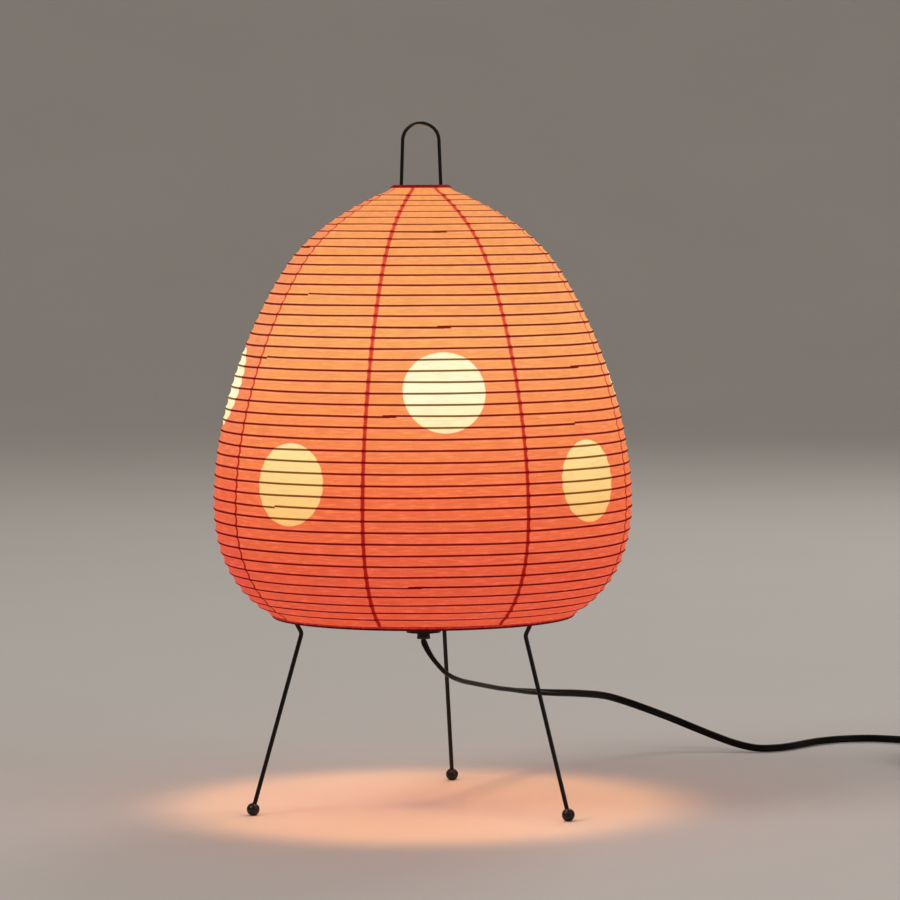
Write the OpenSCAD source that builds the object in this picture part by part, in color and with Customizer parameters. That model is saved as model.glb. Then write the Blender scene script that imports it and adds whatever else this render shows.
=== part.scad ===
// Paper table lamp: an egg-shaped shade of eight paper gores pasted over thin hoops,
// stretched on a bent wire frame that stands on three wire legs with ball feet.
// Millimetres. The origin is on the floor under the lamp's axis, +Z is up and the
// back leg points along +Y.

/* [Shade] */
// Width of the shade over the paper at its widest
shade_width = 261; // [230:1:290]
// Height of the widest part above the floor
widest_height = 190; // [175:1:205]
// Height of the paper's top edge above the floor
shade_top = 386; // [370:1:400]
// Height of the paper's bottom edge above the floor
shade_bottom = 121.2; // [115:0.1:130]
// Width of the paper's top edge
top_width = 35; // [34:0.5:40]
// Width of the mouth at the bottom edge
mouth_width = 190; // [176:1:200]
// Thickness of the paper
paper_t = 0.3; // [0.15:0.05:0.4]
// How far the paper sags inward between two hoops
paper_sag = 0.55; // [0:0.05:1]
// Width of the pasted overlap of two gores
seam_overlap = 2.6; // [1.5:0.1:5]
// Number of hoops that carry the paper
hoop_count = 44; // [36:1:48]
// Thickness of a hoop
hoop_d = 1.2; // [0.8:0.1:1.4]
// Length of paper between the top ring and the first hoop
crown_strip = 12; // [8:0.1:14]
// Length of paper between the last hoop and the bottom edge
hem_strip = 9.5; // [7:0.1:11]
// Thickness of the doubled paper in the hem
hem_t = 0.5; // [0.3:0.05:0.6]

/* [Rings] */
// Wire of the shade's top ring
top_ring_wire = 2; // [1.5:0.1:2.4]
// Wire of the shade's bottom ring
bottom_ring_wire = 2.6; // [2:0.1:3]

/* [Legs] */
// Wire of a leg
leg_wire = 2.7; // [2.2:0.1:2.9]
// Diameter of the circle on which the three feet stand
foot_circle = 226; // [200:1:260]
// Diameter of a ball foot
foot_d = 8; // [7:0.5:12]
// How far a foot's ball is flattened where it stands
foot_flat = 0.25; // [0.1:0.05:0.5]
// How far the kink of a leg is drawn in from the bottom ring
kink_in = 12.4; // [10:0.1:15]
// Drop of a leg's kink below the bottom ring
kink_drop = 9.2; // [8:0.1:12]

/* [Handle and stretcher] */
// Height of the handle above the paper's top edge
handle_rise = 40.7; // [34:0.1:50]
// Width of the handle's arch over its wire
handle_width = 24.2; // [22:0.1:25]
// Wire of the handle and stretcher
stretcher_wire = 2.2; // [1.8:0.1:2.4]
// Distance between the stretcher's two uprights, centre to centre
stretcher_span = 74; // [68:1:90]

/* [Hub] */
// Drop of the hub plate's underside below the paper's bottom edge
hub_drop = 12.5; // [10:0.5:16]
// Diameter of the hub plate
hub_d = 21.6; // [21:0.2:26]
// Thickness of the hub plate
hub_t = 2.4; // [1.5:0.1:3]
// Outside diameter of the threaded nipple
nipple_d = 8; // [7.8:0.1:8.6]
// Bore of the nipple, through which the flex runs
nipple_bore = 6; // [6:0.1:6.4]
// Length of the nipple above the hub plate
nipple_rise = 41; // [36:1:52]
// Width across flats of the lock nut
nut_flats = 12; // [11:0.5:13]
// Height of the lock nut
nut_h = 3; // [2:0.5:4]

/* [Lamp holder and bulb] */
// Outside diameter of the lamp holder
holder_d = 40; // [38:0.5:44]
// Height of the lamp holder
holder_h = 58; // [55:0.5:62]
// Wall of the lamp holder's moulded parts
holder_wall = 2.2; // [1.6:0.1:3]
// Diameter of the bulb's screw cap
cap_d = 26.2; // [25.8:0.1:26.6]
// Length of the bulb's screw cap
cap_l = 22; // [18:0.5:24]
// Diameter of the bulb's glass
bulb_d = 60; // [50:1:62]
// Length of the bulb from its contact to the top of the glass
bulb_l = 108; // [98:1:116]

/* [Cord] */
// Width of the flat cord
cord_w = 5; // [4.6:0.1:5.1]
// Thickness of the flat cord
cord_t = 2.8; // [2.4:0.1:2.9]
// Outer radius of the coil's centreline
coil_r = 33; // [30:0.5:38]
// Step from one turn of the coil to the next
coil_pitch = 3.5; // [3.4:0.1:4.2]
// Step between the coil's two layers
layer_pitch = 5.7; // [5.6:0.1:7]
// Turns in each of the coil's two layers
layer_turns = 2.75; // [0.75:1:4.75]

/* [Switch] */
// Length of the switch housing
switch_l = 62; // [58:1:70]
// Width of the switch housing
switch_w = 25; // [24:0.5:30]
// Height of the switch housing
switch_h = 18; // [17:0.5:21]
// Wall of the switch housing
switch_wall = 1.8; // [1.4:0.1:2.2]
// Length of the rocker
rocker_l = 20.4; // [18:0.2:22]
// Width of the rocker
rocker_w = 10.6; // [9:0.2:12]
// Angle through which the rocker tips from on to off
rocker_throw = 16; // [12:1:20]

/* [Plug] */
// Width of the plug's body
plug_w = 24; // [22:0.5:28]
// Height of the plug's body
plug_h = 14; // [12:0.5:18]
// Length of the plug's body
plug_l = 27; // [22:0.5:32]
// Distance between the two blades, centre to centre
blade_gap = 12.7; // [12.5:0.1:13]
// Length of a blade
blade_l = 17.5; // [16:0.5:19]

/* [Hidden] */
$fn = 48;
gore_count = 8;
leg_count = 3;
seam_turn = 38.2;  // the first seam's angle, which puts a seam a little left of the front
slip = 0.05;       // gap of faces that are pasted, seated or clamped
fit = 0.1;         // gap of a part that turns or is screwed in
tiny = 0.01;

// Outline of the shade: three curves, from the top edge over the shoulder to the widest
// part and in again to the mouth. The shares place the inner points of the curves between
// the edges, across and down.
widest_r = shade_width / 2;
top_r = top_width / 2;
mouth_r = mouth_width / 2;
upper_shares = [[0, 0], [0.259, 0.061], [0.454, 0.136], [0.576, 0.233], [0.766, 0.385], [1, 0.694], [1, 1]];
lower_shares = [[0, 0], [0, 0.566], [0.521, 0.868], [1, 1]];

function upper_point(s) = [top_r + s.x * (widest_r - top_r), shade_top - s.y * (shade_top - widest_height)];
function lower_point(s) = [widest_r - s.x * (widest_r - mouth_r),
                           widest_height - s.y * (widest_height - shade_bottom)];
function bezier(p, t) =
    (1 - t) ^ 3 * p[0] + 3 * (1 - t) ^ 2 * t * p[1] + 3 * (1 - t) * t ^ 2 * p[2] + t ^ 3 * p[3];

upper_points = [for (s = upper_shares) upper_point(s)];
lower_points = [for (s = lower_shares) lower_point(s)];
curves = [
    [for (i = [0:3]) upper_points[i]],
    [for (i = [3:6]) upper_points[i]],
    lower_points,
];
steps = 40;
outline = concat([curves[0][0]], [for (c = curves) for (i = [1:steps]) bezier(c, i / steps)]);
lengths = [for (i = 0, s = 0; i < len(outline); i = i + 1,
                s = s + (i < len(outline) ? norm(outline[i] - outline[i - 1]) : 0)) s];
paper_length = lengths[len(lengths) - 1];

// The point of the outline at a length of paper from the top edge, and its outward normal
function along(s) = [lookup(s, [for (i = [0:len(outline) - 1]) [lengths[i], outline[i].x]]),
                     lookup(s, [for (i = [0:len(outline) - 1]) [lengths[i], outline[i].y]])];
function outward(s) =
    let (step = 0.5, d = along(min(s + step, paper_length)) - along(max(s - step, 0)))
    [-d.y, d.x] / norm(d);

// Hoops lie at even steps of paper between the crown strip and the hem strip.
hoop_pitch = (paper_length - crown_strip - hem_strip) / (hoop_count - 1);
function hoop_at(i) = crown_strip + i * hoop_pitch;
glue = 0.03;  // paste between two papers

// One skin of paper as an outline: it touches each hoop and sags between them.
hem_cover = 1;  // doubled paper above the bottom ring
gore_end = paper_length - hem_cover;
seats = concat([0], [for (i = [0:hoop_count - 1]) hoop_at(i)], [gore_end]);
skin_at = concat([0], [for (i = [1:len(seats) - 1]) each [(seats[i - 1] + seats[i]) / 2, seats[i]]]);
skin_sag = [for (i = [0:len(skin_at) - 1]) i % 2 == 1 ? paper_sag : 0];
function skin(offset_out) = [for (i = [0:len(skin_at) - 1])
    along(skin_at[i]) + outward(skin_at[i]) * (offset_out - skin_sag[i])];

// Every second gore is pasted over the edges of its neighbours.
function gore_lift(i) = i % 2 == 0 ? 0 : paper_t + glue;

module gore(i) {
    lap = seam_overlap / widest_r * 90 / PI;
    turn = seam_turn + (i - 1) * 360 / gore_count - lap;
    outer = skin(gore_lift(i));
    inner = skin(gore_lift(i) - paper_t);
    color(i % 2 == 0 ? "darkorange" : "orange")
        rotate([0, 0, turn])
            rotate_extrude(angle = 360 / gore_count + 2 * lap)
                polygon(concat(outer, [for (k = [len(inner) - 1:-1:0]) inner[k]]));
}

// The hoops from number first to number last, counted from the top
module hoops(first, last) {
    color("saddlebrown")
        for (i = [first:last]) {
            centre = along(hoop_at(i)) - outward(hoop_at(i)) * (paper_t + slip + hoop_d / 2);
            rotate_extrude() translate(centre) circle(d = hoop_d);
        }
}
function group_start(g) = round(g * hoop_count / 6);

// The two wire rings at the ends of the shade
top_ring_r = top_r - 0.1 - slip - top_ring_wire / 2;
top_ring_z = shade_top;
hem_fold = hem_t + 0.3;  // room for the folded hem round the bottom ring
bottom_ring_r = mouth_r - hem_fold - bottom_ring_wire / 2;
bottom_ring_z = shade_bottom - 0.4;

module wire_ring(r, z, wire) {
    color("black")
        rotate_extrude() translate([r, z]) circle(d = wire);
}

// The hem: a doubled strip that goes from the gores' lower edge over the bottom ring and under it
module shade_hem() {
    start = gore_end + slip;
    wrap = bottom_ring_wire / 2 + slip;
    ring = [bottom_ring_r, bottom_ring_z];
    stops = [start, (start + paper_length) / 2, paper_length];
    fold_from = 5;
    fold_to = -100;
    fold = [for (a = [fold_from:-15:fold_to]) [cos(a), sin(a)]];
    outer = concat(
        [for (s = stops) along(s) + outward(s) * (paper_t / 2)], [for (f = fold) ring + f * (wrap + hem_t)]);
    inner = concat(
        [for (s = stops) along(s) + outward(s) * (paper_t / 2 - hem_t)], [for (f = fold) ring + f * wrap]);
    color("firebrick")
        rotate_extrude() polygon(concat(outer, [for (k = [len(inner) - 1:-1:0]) inner[k]]));
}

// A bent round wire in the XZ plane: straight runs joined by bends of the given radii
function unit(v) = v / norm(v);
function turn_at(p, i) =
    let (u = unit(p[i] - p[i - 1]), v = unit(p[i + 1] - p[i])) atan2(u.x * v.y - u.y * v.x, u * v);
function trim_at(p, radii, i) = i == 0 || i == len(p) - 1 ? 0 : radii[i] * tan(abs(turn_at(p, i)) / 2);

// A bend's wire is a hair thicker than a straight run, which reaches a little way into it.
hair = 0.04;
reach = 0.15;

module bent_wire(p, radii, wire) {
    last = len(p) - 2;
    for (i = [0:last]) {
        u = unit(p[i + 1] - p[i]);
        in = i == 0 ? 0 : reach;
        on = i == last ? 0 : reach;
        from = p[i] + u * (trim_at(p, radii, i) - in);
        run = norm(p[i + 1] - p[i]) - trim_at(p, radii, i) - trim_at(p, radii, i + 1);
        translate([from.x, 0, from.y])
            rotate([0, 90 - atan2(u.y, u.x), 0])
                cylinder(h = run + in + on, d = wire - hair);
    }
    for (i = [1:last]) {
        turn = turn_at(p, i);
        u = unit(p[i] - p[i - 1]);
        side = turn > 0 ? [-u.y, u.x] : [u.y, -u.x];
        centre = p[i] - u * trim_at(p, radii, i) + side * radii[i];
        start = atan2(-side.y, -side.x) + min(turn, 0);
        translate([centre.x, 0, centre.y])
            rotate([90, 0, 0])
                rotate([0, 0, start])
                    rotate_extrude(angle = abs(turn)) translate([radii[i], 0]) circle(d = wire);
    }
}

// A leg: an arm from the hub out over the bottom ring, a hairpin back over the ring, a run down
// inside it to the kink, and a straight run to the foot. The paper pulls the ring up into the
// corner under the hairpin.
hub_bottom = shade_bottom - hub_drop;
hub_top = hub_bottom + hub_t;
hook_gap = 0.15;  // clearance of the hairpin over the bottom ring
hook_bend = 1.7;  // bend radius of the hairpin
hook_reach = (bottom_ring_wire + leg_wire) / 2 + hook_gap;
arm_start = [nut_flats / 2 + leg_wire / 2 + 0.6, hub_top + leg_wire / 2];
hook_low = [bottom_ring_r + 2.1, bottom_ring_z + hook_reach];
hook_high = hook_low + [0, 2.5 * hook_bend];
hook_corner = [bottom_ring_r - 5.6, hook_low.y];
kink = [bottom_ring_r - kink_in, bottom_ring_z - kink_drop];
foot_z = foot_d / 2 - foot_flat;
leg_end = [foot_circle / 2, foot_z];
corner_bend = 2;
kink_bend = 4;

function leg_turn(i) = 90 + i * 360 / leg_count;

module leg(i) {
    color("black")
        rotate([0, 0, leg_turn(i)])
            bent_wire(
                [arm_start, hook_high, hook_low, hook_corner, kink, leg_end],
                [0, hook_bend, hook_bend, corner_bend, kink_bend, 0], leg_wire);
}

// A ball foot with a blind hole for the end of its leg and a small flat to stand on
module foot(i) {
    run = leg_end - kink;
    color("black")
        rotate([0, 0, leg_turn(i)])
            difference() {
                translate([leg_end.x, 0, foot_z]) sphere(d = foot_d);
                translate([leg_end.x, 0, foot_z])
                    rotate([0, 90 - atan2(-run.y, -run.x), 0])
                        translate([0, 0, -slip])
                            cylinder(h = foot_d, d = leg_wire + 2 * slip);
                translate([leg_end.x - foot_d, -foot_d, -foot_d]) cube([2 * foot_d, 2 * foot_d, foot_d]);
            }
}

// The handle and stretcher: one wire. Its arch is the handle, a step below the top ring
// pushes the ring up, and the uprights spread round the bulb and end in the hub plate.
arch_r = (handle_width - stretcher_wire) / 2;
arch_top = shade_top + handle_rise - stretcher_wire / 2;
neck_r = top_ring_r - 4;
step_z = top_ring_z - (top_ring_wire + stretcher_wire) / 2 - fit;
step_reach = top_ring_r + 3;
upright_r = stretcher_span / 2;
stretcher_foot = 8.2;
stretcher_side = [
    [neck_r, step_z],
    [step_reach, step_z],
    [upright_r, shade_top - 56],
    [upright_r, hub_top + 39],
    [stretcher_foot, hub_top + 5.5],
    [stretcher_foot, hub_bottom],
];
side_bends = [2.4, 3, 12, 12, 3, 0];

module handle_stretcher() {
    half = concat([[arch_r, arch_top], [neck_r, shade_top + 2.5]], stretcher_side);
    bends = concat([arch_r - 0.2, 20], side_bends);
    back = [for (k = [len(half) - 1:-1:0]) k];
    color("black")
        bent_wire(
            concat([for (k = back) [-half[k].x, half[k].y]], half), concat([for (k = back) bends[k]], bends),
            stretcher_wire);
}

module hub_plate() {
    color("dimgray")
        difference() {
            translate([0, 0, hub_bottom]) cylinder(h = hub_t, d = hub_d);
            translate([0, 0, hub_bottom - 1]) cylinder(h = hub_t + 2, d = nipple_d + 2 * slip);
            for (m = [-1, 1])
                translate([m * stretcher_foot, 0, hub_bottom - 1])
                    cylinder(h = hub_t + 2, d = stretcher_wire + 2 * slip);
        }
}

// The nipple stands in the hub plate and carries the lamp holder. The flex runs through it.
nipple_tail = 3;  // how far the nipple stands out below the hub plate
nipple_top = hub_top + nipple_rise;

module nipple() {
    color("goldenrod")
        translate([0, 0, hub_bottom - nipple_tail])
            difference() {
                cylinder(h = nipple_top - hub_bottom + nipple_tail, d = nipple_d);
                translate([0, 0, -1]) cylinder(h = nipple_top, d = nipple_bore);
            }
}

module lock_nut() {
    color("goldenrod")
        translate([0, 0, hub_top + slip])
            difference() {
                rotate([0, 0, 30]) cylinder(h = nut_h, d = nut_flats / cos(30), $fn = 6);
                translate([0, 0, -1]) cylinder(h = nut_h + 2, d = nipple_d + 2 * slip);
            }
}

// A plastic bush that lines the nipple's lower end, so that its edge doesn't cut the flex
bush_flange = 1;
bush_depth = 6;
exit_z = hub_bottom - nipple_tail - slip - bush_flange;

module cord_bushing() {
    color("dimgray")
        translate([0, 0, exit_z])
            difference() {
                union() {
                    cylinder(h = bush_flange, d = nipple_d + 0.4);
                    cylinder(h = bush_flange + bush_depth, d = nipple_bore - 2 * slip);
                }
                translate([0, 0, -1]) cylinder(h = bush_flange + bush_depth + 2, d = cord_w + 2 * fit);
            }
}

// Section of the flat twin cord
module cord_section() {
    side = (cord_w - cord_t) / 2;
    for (m = [-1, 1]) translate([0, m * side]) circle(d = cord_t);
    square([cord_t, cord_w - cord_t], center = true);
}

// The flex inside the nipple, and its two cores, which end at the terminal screws
module inner_flex() {
    color("black")
        translate([0, 0, exit_z]) linear_extrude(nipple_top - exit_z + 1) cord_section();
}

core_d = 1.5;
core_side = 1.1;
module flex_cores() {
    start = nipple_top + 1 + slip;
    color("ivory")
        for (turn = [90, 270])
            rotate([0, 0, turn])
                bent_wire(
                    [[core_side, start], [core_side, start + 3.5], [terminal_x - terminal_head / 2 - 0.3, terminal_z]],
                    [0, 1.6, 0], core_d);
}

// The lamp holder: a moulded cap on the nipple, a ceramic base with the terminals, a screw
// shell for the bulb and a moulded shell over all of it
holder_bottom = nipple_top - 9;
holder_top = holder_bottom + holder_h;
holder_r = holder_d / 2;
holder_in = holder_r - holder_wall;
cap_rise = 23;       // height of the cap below the shell
ledge_h = 17;        // height of the ledge that the ceramic base sits on
ledge_w = 2;
base_h = 11;
base_z = holder_bottom + ledge_h + slip;
base_top = base_z + base_h;
boss_r = 7;
dome_steps = 8;

module holder_cap() {
    foot = 4;
    dome_r = holder_r - boss_r;
    dome = [for (k = [0:dome_steps]) let (a = 90 * k / dome_steps)
        [boss_r + dome_r * sin(a), foot + 10 * (1 - cos(a))]];
    inner = [for (k = [dome_steps:-1:0]) let (a = 90 * k / dome_steps)
        [boss_r - 1 + (holder_in - ledge_w - boss_r + 1) * sin(a), foot + holder_wall + 9 * (1 - cos(a))]];
    bore = nipple_d / 2 + slip;
    color("ivory")
        translate([0, 0, holder_bottom])
            rotate_extrude()
                polygon(concat(
                    [[bore, 0], [boss_r, 0]],
                    dome,
                    [[holder_r, cap_rise], [holder_in, cap_rise]],
                    [[holder_in, ledge_h], [holder_in - ledge_w, ledge_h]],
                    inner,
                    [[bore, foot + holder_wall]]));
}

terminal_x = 10;
terminal_head = 6;
terminal_z = base_z - 1.6;
contact_t = 0.6;

module holder_insulator() {
    color("white")
        difference() {
            translate([0, 0, base_z]) cylinder(h = base_h, r = holder_in - fit);
            translate([0, 0, base_z - 1]) cylinder(h = base_h + 2, d = 3 + 2 * slip);
            for (m = [-1, 1])
                translate([0, m * terminal_x, base_z - 1]) cylinder(h = 1 + 7, d = 3 + 2 * slip);
        }
}

module terminal_screws() {
    color("goldenrod")
        for (m = [-1, 1])
            translate([0, m * terminal_x, 0])
                difference() {
                    union() {
                        translate([0, 0, base_z - slip - 2.4]) cylinder(h = 2.4, d = terminal_head);
                        translate([0, 0, base_z - slip - tiny]) cylinder(h = 6, d = 3);
                    }
                    translate([-5, -0.4, base_z - 3.5]) cube([10, 0.8, 1.8]);
                }
}

module holder_shell() {
    rim = 1.4;
    color("ivory")
        translate([0, 0, holder_bottom + cap_rise + slip])
            rotate_extrude()
                polygon([
                    [holder_in, 0], [holder_r, 0],
                    [holder_r, holder_h - cap_rise - 6], [holder_r + rim, holder_h - cap_rise - 4.5],
                    [holder_r + rim, holder_h - cap_rise - 1.5], [holder_r, holder_h - cap_rise],
                    [holder_in - 1.6, holder_h - cap_rise], [holder_in - 1.6, holder_h - cap_rise - 3],
                    [holder_in, holder_h - cap_rise - 4.6],
                ]);
}

screw_in = cap_d / 2 + fit;
screw_t = 0.4;
screw_bottom = base_top + slip;
screw_flange = holder_in - 1.5;

module holder_screw_shell() {
    top = min(screw_bottom + 1 + contact_rise + cap_l, holder_top - 5);
    color("gold")
        rotate_extrude()
            polygon([
                [screw_in, screw_bottom], [screw_flange, screw_bottom], [screw_flange, screw_bottom + screw_t],
                [screw_in + screw_t, screw_bottom + screw_t], [screw_in + screw_t, top - 0.8],
                [screw_in + screw_t + 0.6, top], [screw_in + 0.6, top], [screw_in, top - 0.8],
            ]);
}

contact_rise = 1.4;
module holder_contact() {
    color("gold")
        difference() {
            union() {
                translate([-7, -2.5, base_top + slip]) cube([14, 5, contact_t]);
                translate([0, 0, base_top + slip]) cylinder(h = contact_rise, d = 4.6);
                translate([0, 0, base_z + 0.5]) cylinder(h = base_h, d = 3);
            }
            translate([0, 0, base_z]) cylinder(h = base_h - 3, d = 1.2);
        }
}

// The bulb: glass in a screw cap, with its contact below
bulb_bottom = base_top + slip + contact_rise + slip;
bulb_top = bulb_bottom + bulb_l;
bulb_r = bulb_d / 2;
bulb_z = bulb_top - bulb_r;
tip_h = 1.6;
glass_in_cap = 8;
cap_bottom = bulb_bottom + tip_h + 4;
cap_top = cap_bottom + cap_l;
glass_t = 0.8;
cap_t = 0.35;

// Half outline of the glass, drawn in by less: a neck, a swelling and a round top
function glass_outline(less) =
    let (
        neck = cap_d / 2 + 1 - less,
        low = -25,
        join = [(bulb_r - less) * cos(low), bulb_z + (bulb_r - less) * sin(low)],
        pull = 0.3 * (bulb_z - cap_top),
        swell = [[neck, cap_top + 4], [neck, cap_top + 4 + pull], join + pull * [sin(low), -cos(low)], join]
    )
    concat(
        [for (z = [cap_top - glass_in_cap, cap_top + 0.5]) [cap_d / 2 - cap_t - fit - less, z]],
        [for (k = [0:8]) bezier(swell, k / 8)],
        [for (k = [1:16]) let (a = low + (90 - low) * k / 16)
            [k == 16 ? 0 : (bulb_r - less) * cos(a), bulb_z + (bulb_r - less) * sin(a)]]);

module bulb_glass() {
    outer = glass_outline(0);
    inner = glass_outline(glass_t);
    color("ivory", 0.7)
        rotate_extrude()
            polygon(concat(outer, [for (k = [len(inner) - 1:-1:0]) inner[k]]));
}

module bulb_cap() {
    color("silver")
        rotate_extrude()
            polygon([
                [cap_d / 2 - 2.5, cap_bottom], [cap_d / 2 - 1, cap_bottom], [cap_d / 2, cap_bottom + 1.5],
                [cap_d / 2, cap_top], [cap_d / 2 - cap_t, cap_top], [cap_d / 2 - cap_t, cap_bottom + 1.8],
                [cap_d / 2 - 1.3, cap_bottom + cap_t], [cap_d / 2 - 2.5, cap_bottom + cap_t],
            ]);
}

module bulb_insulator() {
    color("black")
        rotate_extrude()
            polygon([
                [0, bulb_bottom + tip_h + slip], [4.6, bulb_bottom + tip_h + slip],
                [cap_d / 2 - 2.6, cap_bottom], [cap_d / 2 - 2.6, cap_bottom + 1.5], [0, cap_bottom + 1.5],
            ]);
}

module bulb_contact() {
    color("silver")
        translate([0, 0, bulb_bottom])
            rotate_extrude() polygon([[0, 0], [2.6, 0], [4.4, 0.9], [4.4, tip_h], [0, tip_h]]);
}

// The glass mount that is sealed into the neck, and four filament rods round its tip
mount_top = bulb_z - 12;
module bulb_stem() {
    neck = cap_d / 2 - cap_t - fit - glass_t - slip;
    color("white", 0.6)
        rotate_extrude()
            polygon([
                [0, cap_top - glass_in_cap], [neck, cap_top - glass_in_cap],
                [neck, cap_top - glass_in_cap + 1.2], [4.5, cap_top - glass_in_cap + 5],
                [3.2, mount_top - 14], [2.6, mount_top], [0, mount_top],
            ]);
}

module bulb_filaments() {
    rod_l = bulb_r - 3;
    color("gold")
        for (a = [45:90:315])
            rotate([0, 0, a])
                translate([6, 0, mount_top - 8])
                    rotate([0, 14, 0]) {
                        cylinder(h = rod_l, d = 1.6);
                        rotate([0, -90, 0]) translate([0.8, 0, 0]) cylinder(h = 2.6, d = 0.6);
                    }
}

// Cord. The lead leaves the nipple, hangs to the floor behind the lamp and lies to the
// switch. A short link goes on to the coil, and the end goes from the coil to the plug.
function flat_ring(centre, ahead, wide, w, t, sides) =
    let (thin = unit(cross(ahead, wide)), wide_true = unit(cross(thin, ahead)), half = (w - t) / 2)
    [for (k = [0:sides - 1])
        let (a = 360 * (k + 0.5) / sides, lift = sin(a) > 0 ? half : -half)
        centre + thin * (cos(a) * t / 2) + wide_true * (sin(a) * t / 2 + lift)];

function tube_faces(rings, sides) = concat(
    [[for (k = [sides - 1:-1:0]) k]],
    [for (i = [0:rings - 2]) for (k = [0:sides - 1])
        let (a = i * sides + k, b = i * sides + (k + 1) % sides)
        each [[a, b, b + sides], [a, b + sides, a + sides]]],
    [[for (k = [0:sides - 1]) (rings - 1) * sides + k]]);

// A smooth curve through the given points, with even steps between each pair
function through(p, per) = concat(
    [for (i = [0:len(p) - 2]) for (k = [0:per - 1])
        let (
            t = k / per,
            a = i == 0 ? 2 * p[0] - p[1] : p[i - 1],
            d = i == len(p) - 2 ? 2 * p[i + 1] - p[i] : p[i + 2]
        )
        0.5 * ((2 * p[i]) + (p[i + 1] - a) * t + (2 * a - 5 * p[i] + 4 * p[i + 1] - d) * t ^ 2
            + (3 * p[i] - a - 3 * p[i + 1] + d) * t ^ 3)],
    [p[len(p) - 1]]);

// The cord's wide side lies along the direction that the keys give for the share of the way.
module flat_cord(path, keys, sides) {
    n = len(path);
    color("black")
        polyhedron(
            points = [for (i = [0:n - 1])
                let (
                    ahead = unit(path[min(i + 1, n - 1)] - path[max(i - 1, 0)]),
                    share = i / (n - 1),
                    wide = [for (axis = [0:2]) lookup(share, [for (k = keys) [k[0], k[1][axis]]])]
                )
                each flat_ring(path[i], ahead, wide, cord_w, cord_t, sides)],
            faces = tube_faces(n, sides));
}

// A smooth run between two straight ends, which meet what holds them squarely
function cord_run(from, from_way, points, to, to_way, per) = concat(
    [from], through(concat([from + from_way], points, [to + to_way]), per), [to]);

on_edge = [[0, [0, 0, 1]], [1, [0, 0, 1]]];
end_run = 1.5;
relief_l = 22;  // strain reliefs of the switch and plug
switch_cord_z = switch_h / 2;
switch_at = [305, 240];
lead_end_y = switch_at.y + switch_l / 2 + relief_l + slip;

// Where the lead goes: down out of the nipple, over to the floor at the back and to the switch.
// It hangs with its wide side level, and lies on its edge on the floor.
lead_sides = [
    [0, [0, 1, 0]], [0.03, [-0.5, 0.87, 0]], [0.12, [-0.95, 0.3, 0]], [0.4, [-0.8, 0.5, 0]],
    [0.56, [0, 0, 1]], [1, [0, 0, 1]],
];
lead_from = [0, 0, exit_z - slip];
lead_to = [switch_at.x, lead_end_y, switch_cord_z];
lead_route = [
    [0.4, 0.2, exit_z - 4], [3, 2, 96], [6.5, 6, 90.5], [10, 14, 84], [14.5, 28, 77], [20.5, 50, 70.5],
    [31.5, 91, 62.5], [42, 128, 56.5], [52.5, 161, 52], [64, 194, 48], [73.5, 220, 45], [84.5, 243, 41],
    [97, 261, 35], [111, 275, 28], [125.5, 282.5, 21.5], [140, 284, 15.5], [155.5, 280.5, 10],
    [171, 275, 5.5], [185.5, 271.5, 3], [198, 275, 2.8], [208, 286, 2.8], [216, 300, 2.8],
    [226, 315, 2.8], [240, 327, 2.8], [258, 333, 2.8], [276, 330, 2.8], [291, 321, 3.2], [301.5, 309, 6.4],
];
lead_path = cord_run(lead_from, [0, 0, -end_run], lead_route, lead_to, [0, end_run, 0], 3);
coil_at = [338, 150];

// Coil: two layers, the lower spiralling in and the upper out again
coil_bottom = 0.8;
coil_z = coil_bottom + cord_w / 2;
coil_turns = 2 * layer_turns;
coil_in = coil_r - coil_pitch * layer_turns;
rings_a_turn = 24;
coil_rings = round(coil_turns * rings_a_turn);
function coil_point(i) =
    let (
        turns = coil_turns * i / coil_rings,
        r = turns < layer_turns ? coil_r - coil_pitch * turns : coil_in + coil_pitch * (turns - layer_turns),
        climb = max(0, min(1, (turns - layer_turns) * 2 + 0.5)),
        a = 180 + 360 * turns
    )
    [coil_at.x + r * cos(a), coil_at.y + r * sin(a), coil_z + climb * layer_pitch];
coil_path = concat(
    [coil_point(0) + [0, cord_w, 0]],
    [for (i = [0:coil_rings]) coil_point(i)],
    [coil_point(coil_rings) + [0, cord_w, 0]]);

// Least gap of the coil to itself, from the distance of the flat sections' middle lines
function section_gap(a, b) =
    let (
        flat = norm([a.x - b.x, a.y - b.y]),
        up = max(0, abs(a.z - b.z) - (cord_w - cord_t))
    )
    norm([flat, up]) - cord_t;
coil_gap = min([for (i = [0:coil_rings]) for (j = [i + 12:min(i + 40, coil_rings)])
    section_gap(coil_point(i), coil_point(j))]);
layer_gap = min([for (i = [0:3:coil_rings]) for (j = [i + 40:coil_rings])
    section_gap(coil_point(i), coil_point(j))]);
echo(coil_gap = coil_gap, layer_gap = layer_gap);

function way(p, i = 1) = i >= len(p) ? 0 : norm(p[i] - p[i - 1]) + way(p, i + 1);

module cord_lead() { flat_cord(lead_path, lead_sides, 8); }

link_start = [switch_at.x, switch_at.y - switch_l / 2 - relief_l - slip, switch_cord_z];
link_end = coil_path[0] + [0, slip, 0];
link_route = [link_start - [0, 7, 0.3], (link_start + link_end) / 2, link_end + [0, 7, 0.3]];
link_path = cord_run(link_start, [0, -end_run, 0], link_route, link_end, [0, end_run, 0], 3);
module cord_link() { flat_cord(link_path, on_edge, 8); }
module cord_coil() { flat_cord(coil_path, on_edge, 6); }

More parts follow.
